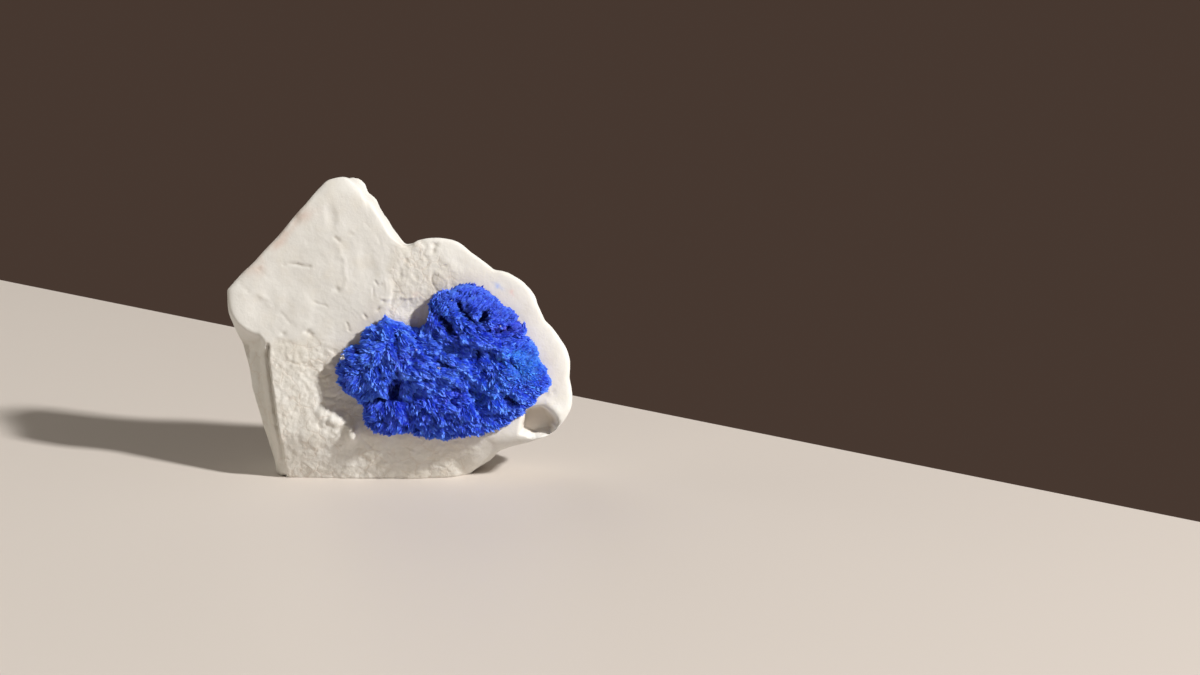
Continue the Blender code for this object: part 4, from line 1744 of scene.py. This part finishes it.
        # painted shade: the crust is darker where it lies lower than its surroundings and in the
        # named hollows
        fields = {"tip": np.clip(0.26 + 0.28 * proud, 0.04, 0.7) * (1.0 - 0.7 * hollow),
                  "tone": np.full_like(hue, 0.4),
                  "hue": hue, "dull": np.ones_like(hue)}
        crust = make_mesh("azurite_crust", (grid_values(place) + self.slab.shift()) * MM,
                          grid_faces(*place.shape[:2]), True,
                          {label: grid_values(values) for label, values in fields.items()})
        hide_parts("azurite_rosette")
        pieces = [crust]

        surface = np.concatenate((place, normals, proud[..., None]), axis=-1)
        crystals, stand = self.grow(self.roots(surface, random), random)
        hollow_shade = self.hollow(crystals.root[:, 0], crystals.root[:, 2])
        # painted light and shade: crystals are darker in hollows and where their roots lie low,
        # each lobe is brightened or darkened for how the light falls on it, and each tip is lighter
        # than its root
        lit = np.clip(0.52 + 0.34 * stand, 0.04, 0.90) * (1.0 - 0.6 * hollow_shade)
        lobe_of = self.lobe_of(crystals.root)
        lit = lit * np.array([lobe.bright for lobe in self.lobes])[lobe_of]
        tips = np.stack((lit, lit + 0.30 - 0.2 * hollow_shade), axis=-1)
        for number, lobe in enumerate(self.lobes):
            mine = lobe_of == number
            own = crystals.some(mine)
            pieces.append(self.blades(lobe.name, own, tips[mine],
                                      self.hue(own.root) + random.normal(0.0, 0.10, mine.sum()),
                                      random))
            LOG.info("%s: %d crystals", lobe.name, mine.sum())
        front = place[:self.rows[0]].reshape(-1, 3)
        sprays = self.spray(self.sprays, front, random)
        # painted shade: the sprays' roots are dark and their tips light
        pieces.append(self.blades("azurite_sprays", sprays,
                                  np.full((len(sprays.root), 2), (0.35, 0.9)),
                                  self.hue(sprays.root), random))
        for piece in pieces:
            piece.data.materials.append(finish)
        grains = self.spray(self.grains, front, random)
        pale_grains = make_mesh("kaolin_grains",
                                (grains.points().reshape(-1, 3) + self.slab.shift()) * MM,
                                grains.faces(), False, {})
        pale_grains.data.materials.append(pale)
        pieces.append(pale_grains)
        for piece in pieces:
            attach(piece, BODY)
        return pieces


# ---------------------------------------------------------------------------------------------
# The studio
# ---------------------------------------------------------------------------------------------


@dataclass(frozen=True)
class SoftLight:
    """A square soft light that points at the specimen.

    Attributes:
        name: Its name.
        toward: The direction from the specimen to the light.
        distance: How far away it is, in metres.
        size: The length of its side, in metres.
        power: Its power, in watts.
        colour: Its colour.
    """

    name: str
    toward: tuple[float, float, float]
    distance: float
    size: float
    power: float
    colour: Colour


@dataclass
class Studio:
    """A pale surface, soft lights and the camera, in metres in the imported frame."""

    aim: tuple[float, float, float] = (0.0630, 0.0032, 0.0436)
    elevation: float = 14.0
    distance: float = 0.90
    lens: float = 85.0
    far_edge: tuple[Point, Point] = ((-0.185, 0.276), (0.245, -0.053))
    backdrop: Colour = (0.063, 0.040, 0.030)
    lights: tuple[SoftLight, ...] = (
        SoftLight("key", (0.71, -0.41, 0.57), 3.0, 0.20, 124.0, (1.0, 0.98, 0.945)),
        SoftLight("fill", (-0.45, -0.85, 0.45), 1.6, 1.2, 1.0, (1.0, 1.0, 0.70)),
        SoftLight("side", (-0.95, 0.12, 0.25), 1.4, 0.8, 3.6, (1.0, 0.99, 0.90)),
        SoftLight("back", (-0.55, 0.95, 0.8), 1.7, 1.0, 4.0, (1.0, 1.0, 0.92)),
    )

    def camera(self) -> bpy.types.Object:
        """The camera, looking along +Y and down by the elevation.

        Returns:
            The camera.
        """
        data = bpy.data.cameras.new("camera")
        data.lens = self.lens
        camera = bpy.data.objects.new("camera", data)
        tilt = math.radians(self.elevation)
        camera.location = (self.aim[0], self.aim[1] - self.distance * math.cos(tilt),
                           self.aim[2] + self.distance * math.sin(tilt))
        camera.rotation_euler = (math.pi / 2.0 - tilt, 0.0, 0.0)
        bpy.context.scene.collection.objects.link(camera)
        bpy.context.scene.camera = camera
        return camera

    def light(self, lamp: SoftLight) -> bpy.types.Object:
        """One square area light, turned to face the specimen.

        Args:
            lamp: Its sizes, power and colour.

        Returns:
            The light.
        """
        data = bpy.data.lights.new(lamp.name, "AREA")
        data.shape = "SQUARE"
        data.size = lamp.size
        data.energy = lamp.power
        data.color = lamp.colour
        light = bpy.data.objects.new(lamp.name, data)
        toward = unit(np.array(lamp.toward))
        light.location = toward * lamp.distance + np.array((0.0, 0.0, 0.045))
        yaw = math.atan2(toward[0], -toward[1])
        light.rotation_euler = (math.acos(toward[2]), 0.0, yaw)
        bpy.context.scene.collection.objects.link(light)
        return light

    def floor(self, finish: bpy.types.Material) -> bpy.types.Object:
        """The flat pale surface, which ends at a straight far edge behind the specimen.

        Args:
            finish: The floor's material.

        Returns:
            The floor.
        """
        (left_x, left_y), (right_x, right_y) = self.far_edge
        run_x, run_y = right_x - left_x, right_y - left_y
        length = math.hypot(run_x, run_y)
        run_x, run_y = run_x / length, run_y / length
        wide, deep = 3.0, 4.0
        far_left = (left_x - wide * run_x, left_y - wide * run_y)
        far_right = (right_x + wide * run_x, right_y + wide * run_y)
        near_left = (far_left[0] + deep * run_y, far_left[1] - deep * run_x)
        near_right = (far_right[0] + deep * run_y, far_right[1] - deep * run_x)
        points = [(*corner, 0.0) for corner in (far_left, near_left, near_right, far_right)]
        floor = make_mesh("studio_floor", points, [[0, 1, 2, 3]], False, {})
        floor.data.materials.append(finish)
        return floor

    def world(self) -> bpy.types.World:
        """A plain dark backdrop all round.

        Returns:
            The world.
        """
        world = bpy.data.worlds.new("backdrop")
        world.use_nodes = True
        background = world.node_tree.nodes["Background"]
        background.inputs["Color"].default_value = (*self.backdrop, 1.0)
        bpy.context.scene.world = world
        return world

    def build(self, finish: bpy.types.Material) -> None:
        """Sets up the whole studio.

        Args:
            finish: The floor's material.
        """
        self.camera()
        self.floor(finish)
        self.world()
        for lamp in self.lights:
            self.light(lamp)
        bpy.context.scene.view_settings.view_transform = "Standard"


def main() -> None:
    """Builds the specimen and its studio, and reports each piece."""
    logging.basicConfig(level=logging.INFO, format="%(name)s: %(message)s")
    slab = Slab()
    kaolin = KaolinFinish().make()
    pieces = [slab.build(kaolin)]
    pieces += Rosette(slab).build(AzuriteFinish().make(), kaolin)
    Studio().build(StudioFinish().make())
    for piece in pieces:
        LOG.info("%s: %d faces", piece.name, len(piece.data.polygons))


if __name__ == "__main__":
    main()
